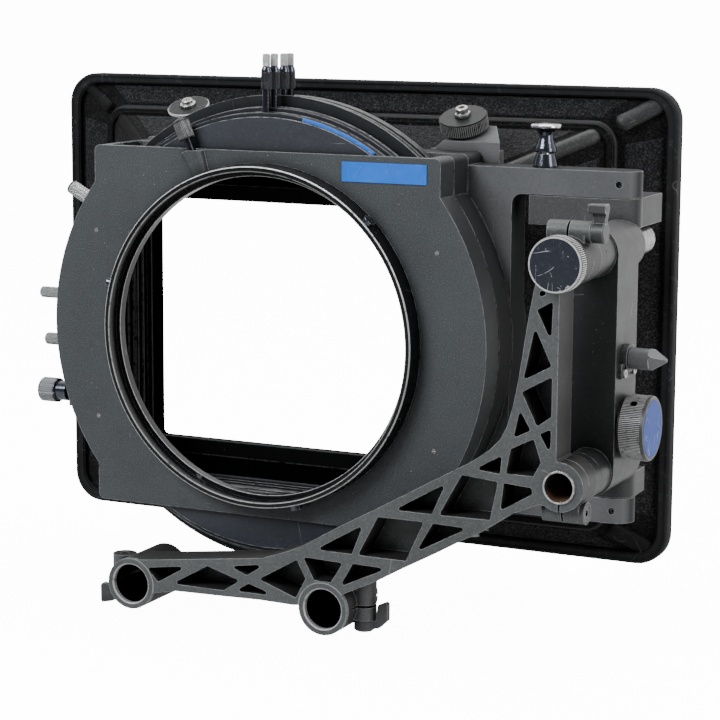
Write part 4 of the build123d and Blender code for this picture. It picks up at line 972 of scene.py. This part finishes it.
# half width, half height, corner radius, y, bead radius, segments, material
STEP_BEADS = {
    "hood_step_bead": (143.0, 101.0, 10.6, 97.4, 1.9, 14, "hood_bead"),
    # the lip takes the darker ridge copy, as painted shade
    "hood_step_lip": (141.0, 99.2, 9.4, 94.6, 0.8, 8, "hood_ridge_shaded"),
}
RIM_BEADS = {
    "hood_rim_bead": (171.8, 117.8, 15.2, 105.3, 1.25, 12, "hood_rubber"),
    "hood_rim_lip": (168.2, 114.5, 13.4, 106.0, 0.9, 10, "hood_rubber"),
    "hood_rim_front_bead": (171.2, 117.2, 14.6, 111.4, 1.1, 10, "hood_rubber"),
}
for name, sizes in STEP_BEADS.items():
    bead(name, *sizes)
for sx in (1, -1):
    for sz in (1, -1):
        corner_ridges(sx, sz)
for name, sizes in RIM_BEADS.items():
    bead(name, *sizes)


# ------------------------------------------------------------------ knurled and turned pieces
def tray_post(number, x, y, bottom, top):
    """Black grip, bright knurled tip with its cap, and the polished cone between them."""
    body = f"tray_{number}"
    axis = ((x, y, 0), ALONG_Z)
    top_axis = ((x, y, top), ALONG_Z)
    knurl(f"tray_grip_{number}", axis, bottom + 0.1, top - 0.05, count=20,
          material=f"knurl_barrel_{number}", body=body, slot="knob_black", wall=0.2,
          pitch_ratio=1.0, **GRIP_KNURL)
    knurl(f"tray_tip_{number}", axis, top + 2.9, top + 8.3, count=14,
          material=f"knurl_tip_{number}", body=body, wall=0.2, chamfer=0.2,
          pitch_ratio=1.1, **TIP_KNURL)
    lathe(f"tray_tip_cap_{number}", top_axis,
          [(0, 8.95), (0.9, 8.95), (1.55, 8.8), (1.78, 8.5), (1.78, 8.2), (0, 8.2)],
          "silver_steel", body, segments=24)
    lathe(f"tray_cone_{number}", top_axis,
          [(2.4, 0.02), (2.6, 0.15), (2.62, 0.5), (2.0, 2.55), (1.86, 2.8), (1.0, 2.8),
           (1.0, 0.02), (2.4, 0.02)],
          "chrome_dark_steel", body, segments=32)


for number, post in enumerate(POSTS, 1):
    tray_post(number, *post)

SIDE_SCREW_AXIS = (SIDE_SCREW_POINT, (-1, 0, 0))
knurl("side_screw_knurl", SIDE_SCREW_AXIS, 130.5, 138.95, count=34,
      material="knurl_side_screw", body="side_screw", chamfer=0.5, **SIDE_KNURL)
lathe("side_screw_end", SIDE_SCREW_AXIS,
      [(0, 139.7), (3.4, 139.7), (3.8, 139.95), (4.7, 139.95), (5.6, 139.6), (5.6, 139.4),
       (0, 139.4)],
      "silver_steel", "side_screw")
knurl("radial_screw_knurl", RADIAL_SCREW_AXIS, 124.4, 138.3, count=22,
      material="knurl_radial_screw", body="radial_screw", **RADIAL_KNURL)
knurl("ring_screw_knurl", RING_SCREW_AXIS, 102.15, 110.8, count=26,
      material="knurl_ring_screw", body="ring_screw", pitch_ratio=1.0, **RING_KNURL)
lathe("ring_screw_end", RING_SCREW_AXIS,
      [(0, 111.5), (2.0, 111.5), (2.6, 111.7), (3.1, 111.65), (3.4, 111.3), (3.4, 111.1),
       (0, 111.1)],
      "knurl_worn_steel", "ring_screw")

# screws that hold the flag clamps
lathe("flag_disc_screw", FLAG_DISC_AXIS,
      [(0, 8.5), (3.9, 8.5), (4.0, 8.65), (4.0, 9.75), (3.7, 10.0), (2.9, 10.05),
       (2.8, 10.2), (2.8, 11.5), (2.5, 11.8), (1.5, 11.85), (1.3, 11.2), (0, 11.1)],
      "silver_steel", "flag_disc", segments=32)
hexagon("flag_knob_nut", FLAG_KNOB_AXIS, radius=4.0, z0=7.9, z1=9.6,
        material="silver_steel", body="flag_knob")
lathe("flag_knob_screw", FLAG_KNOB_AXIS,
      [(0, 9.5), (2.9, 9.5), (3.0, 9.7), (3.0, 12.1), (2.7, 12.4), (1.6, 12.45),
       (1.45, 11.4), (0, 11.3)],
      "silver_steel", "flag_knob", segments=32)
lathe("latch_pull_head", ((PULL_X, PULL_Y, 0.0), ALONG_Z),
      [(3.2, 102.0), (5.6, 101.75), (7.15, 102.35), (7.42, 102.8), (7.35, 103.6),
       (6.6, 104.22), (0, 104.72), (0, 104.4), (3.2, 102.0)],
      "chrome_steel", "latch", segments=48)


# ------------------------------------------------------------------ arc decal on the first tray
def arc_decal(start=79.3, sweep_angle=21.8, radii=(105.6, 107.3), depths=(4.27, 4.12), steps=28):
    """Thin plain strip along an arc, angles in degrees from +X towards +Z."""
    verts, faces = [], []
    for k in range(steps + 1):
        a = radians(start - sweep_angle * k / steps)
        verts += [Vector((r * cos(a), y, r * sin(a))) * MM for r in radii for y in depths]
    for k in range(steps):
        for a, b in ((0, 1), (1, 3), (3, 2), (2, 0)):
            faces.append([k * 4 + a, k * 4 + b, k * 4 + 4 + b, k * 4 + 4 + a])
    faces.append([0, 1, 3, 2])
    faces.append([steps * 4 + k for k in (0, 2, 3, 1)])
    new_object("stage_arc_decal", verts, faces, "arc_decal_blue", "tray_1")


arc_decal()


def coil_spring(name, node, side, other, radius, wire, pitch, body):
    """Coil in the place of a CAD spring."""
    low, high = (Vector(corner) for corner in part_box(node))
    side, other = Vector(side), Vector(other)
    along = side.cross(other)
    middle = (low + high) * 0.5
    start, end = low.dot(along), high.dot(along)
    base = middle - along * middle.dot(along)
    radius, wire, pitch = radius * MM, wire * MM, pitch * MM
    run = end - start - 2.0 * wire
    turns = run / pitch
    steps, around = int(36 * turns), 10
    verts, faces = [], []
    for k in range(steps + 1):
        t = 2.0 * pi * turns * k / steps
        out = side * cos(t) + other * sin(t)
        center = base + out * radius + along * (start + wire + run * k / steps)
        for j in range(around):
            q = 2.0 * pi * j / around
            verts.append(center + (out * cos(q) + along * sin(q)) * wire)
    for k in range(steps):
        for j in range(around):
            a, b = k * around + j, k * around + (j + 1) % around
            faces.append([a, b, b + around, a + around])
    faces.append(list(range(around))[::-1])
    faces.append([steps * around + j for j in range(around)])
    coil = new_object(name, verts, faces, "spring_steel", body, smooth=True)
    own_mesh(coil)
    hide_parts(node)


coil_spring("latch_coil", "latch_spring", side=ALONG_X, other=ALONG_Y, radius=2.55,
            wire=0.35, pitch=2.1, body="matte_box")
coil_spring("plunger_coil", "plunger_spring", side=ALONG_Y, other=ALONG_Z, radius=2.85,
            wire=0.3, pitch=1.9, body="carriage")

# ------------------------------------------------------------------ stage, in metres
HEADING = radians(25.33)    # the camera and the paper sweep are turned this far about Z
FLOOR_Z = CAD_BOX[0][2] - 0.0005
SWEEP_START, SWEEP_RADIUS, SWEEP_STEPS = 1.2, 1.6, 12
FLOOR_FRONT, WALL_TOP, HALF_WIDTH = -6.0, 6.0, 7.0


def studio_paper():
    """Paper that glows where the camera sees it, and lights the object mostly from behind."""
    g = Surface("studio_paper")
    mottle = g.noise(scale=3.0, detail=2.0, rough=0.5)
    camera_ray = g.node("LightPath").outputs["Is Camera Ray"]
    seen = g.tint((0.84, 0.84, 0.84), (0.88, 0.88, 0.88), mottle)
    back_glow = g.ramp(g.xyz()[1], (-0.4, 1.4), to=(0.03, 1.6))
    g.set(color=g.tint((0.30, 0.30, 0.30), seen, camera_ray), rough=0.9, spec=0.1,
          glow_color=(1.0, 1.0, 1.0), glow=g.blend(back_glow, 13.0, camera_ray))


def studio_floor():
    """Floor curving up into a back wall."""
    profile = [(FLOOR_FRONT, FLOOR_Z), (SWEEP_START, FLOOR_Z)]
    for k in range(1, SWEEP_STEPS + 1):
        a = radians(90.0 * k / SWEEP_STEPS)
        profile.append((SWEEP_START + SWEEP_RADIUS * sin(a),
                        FLOOR_Z + SWEEP_RADIUS - SWEEP_RADIUS * cos(a)))
    profile.append((SWEEP_START + SWEEP_RADIUS, FLOOR_Z + WALL_TOP))
    verts = [(-sin(HEADING) * depth + cos(HEADING) * across,
              cos(HEADING) * depth + sin(HEADING) * across, z)
             for depth, z in profile for across in (-HALF_WIDTH, HALF_WIDTH)]
    faces = [[2 * k, 2 * k + 1, 2 * k + 3, 2 * k + 2] for k in range(len(profile) - 1)]
    mesh = bpy.data.meshes.new("studio_floor")
    mesh.from_pydata(verts, [], faces)
    for polygon in mesh.polygons:
        polygon.use_smooth = True
    sheet = bpy.data.objects.new("studio_floor", mesh)
    bpy.context.scene.collection.objects.link(sheet)
    sheet.data.materials.append(MATERIALS["studio_paper"])


studio_paper()
studio_floor()


def area_light(name, place, size, power, target=(0, 0, 0), color=(1, 1, 1)):
    light = bpy.data.lights.new(name, "AREA")
    light.shape = "RECTANGLE"
    light.size, light.size_y = size
    light.energy = power
    light.color = color
    lamp = bpy.data.objects.new(name, light)
    lamp.location = place
    aim = Vector(target) - Vector(place)
    lamp.rotation_euler = aim.to_track_quat("-Z", "Y").to_euler()
    bpy.context.scene.collection.objects.link(lamp)


area_light("key_soft", place=(-0.7, -1.4, 1.25), size=(1.0, 0.8), power=44,
           color=(0.95, 0.985, 1.0))
area_light("right_strip", place=(1.5, -0.35, 0.55), size=(0.5, 1.2), power=14,
           target=(0.1, 0, 0))
area_light("top_soft", place=(0.1, 0.3, 1.5), size=(1.4, 0.8), power=21)


def studio_world():
    """White surroundings: bright to the camera, otherwise stronger towards +Y."""
    world = bpy.data.worlds.new("studio_world")
    bpy.context.scene.world = world
    world.use_nodes = True
    g = Nodes(world.node_tree)
    background = g.tree.nodes["Background"]
    camera_ray = g.node("LightPath").outputs["Is Camera Ray"]
    direction = g.node("TexCoord").outputs["Generated"]
    y = g.node("SeparateXYZ", {0: direction}).outputs[1]
    strength = g.ramp(y, (-0.6, 0.9), to=(0.22, 1.5))
    g.link(g.blend(strength, 15.0, camera_ray), background.inputs[1])
    g.link((1.0, 1.0, 1.0), background.inputs[0])


studio_world()

# ------------------------------------------------------------------ camera
CAMERA_PLACE = (0.51542, -0.97786, 0.17334)
CAMERA_DIP, CAMERA_ROLL = radians(9.49), radians(0.31)


def add_camera():
    forward = Vector((-sin(HEADING) * cos(CAMERA_DIP), cos(HEADING) * cos(CAMERA_DIP),
                      -sin(CAMERA_DIP)))
    level = Vector((cos(HEADING), sin(HEADING), 0.0))
    upright = level.cross(forward)
    right = level * cos(CAMERA_ROLL) + upright * sin(CAMERA_ROLL)
    up = level * -sin(CAMERA_ROLL) + upright * cos(CAMERA_ROLL)
    lens = bpy.data.cameras.new("camera")
    lens.lens = 115.74
    lens.sensor_width = 36.0
    lens.clip_start = 0.01
    lens.clip_end = 50.0
    camera = bpy.data.objects.new("camera", lens)
    bpy.context.scene.collection.objects.link(camera)
    pose = Matrix.Identity(4)
    for i in range(3):
        pose[i][0], pose[i][1], pose[i][2] = right[i], up[i], -forward[i]
        pose[i][3] = CAMERA_PLACE[i]
    camera.matrix_world = pose
    bpy.context.scene.camera = camera


add_camera()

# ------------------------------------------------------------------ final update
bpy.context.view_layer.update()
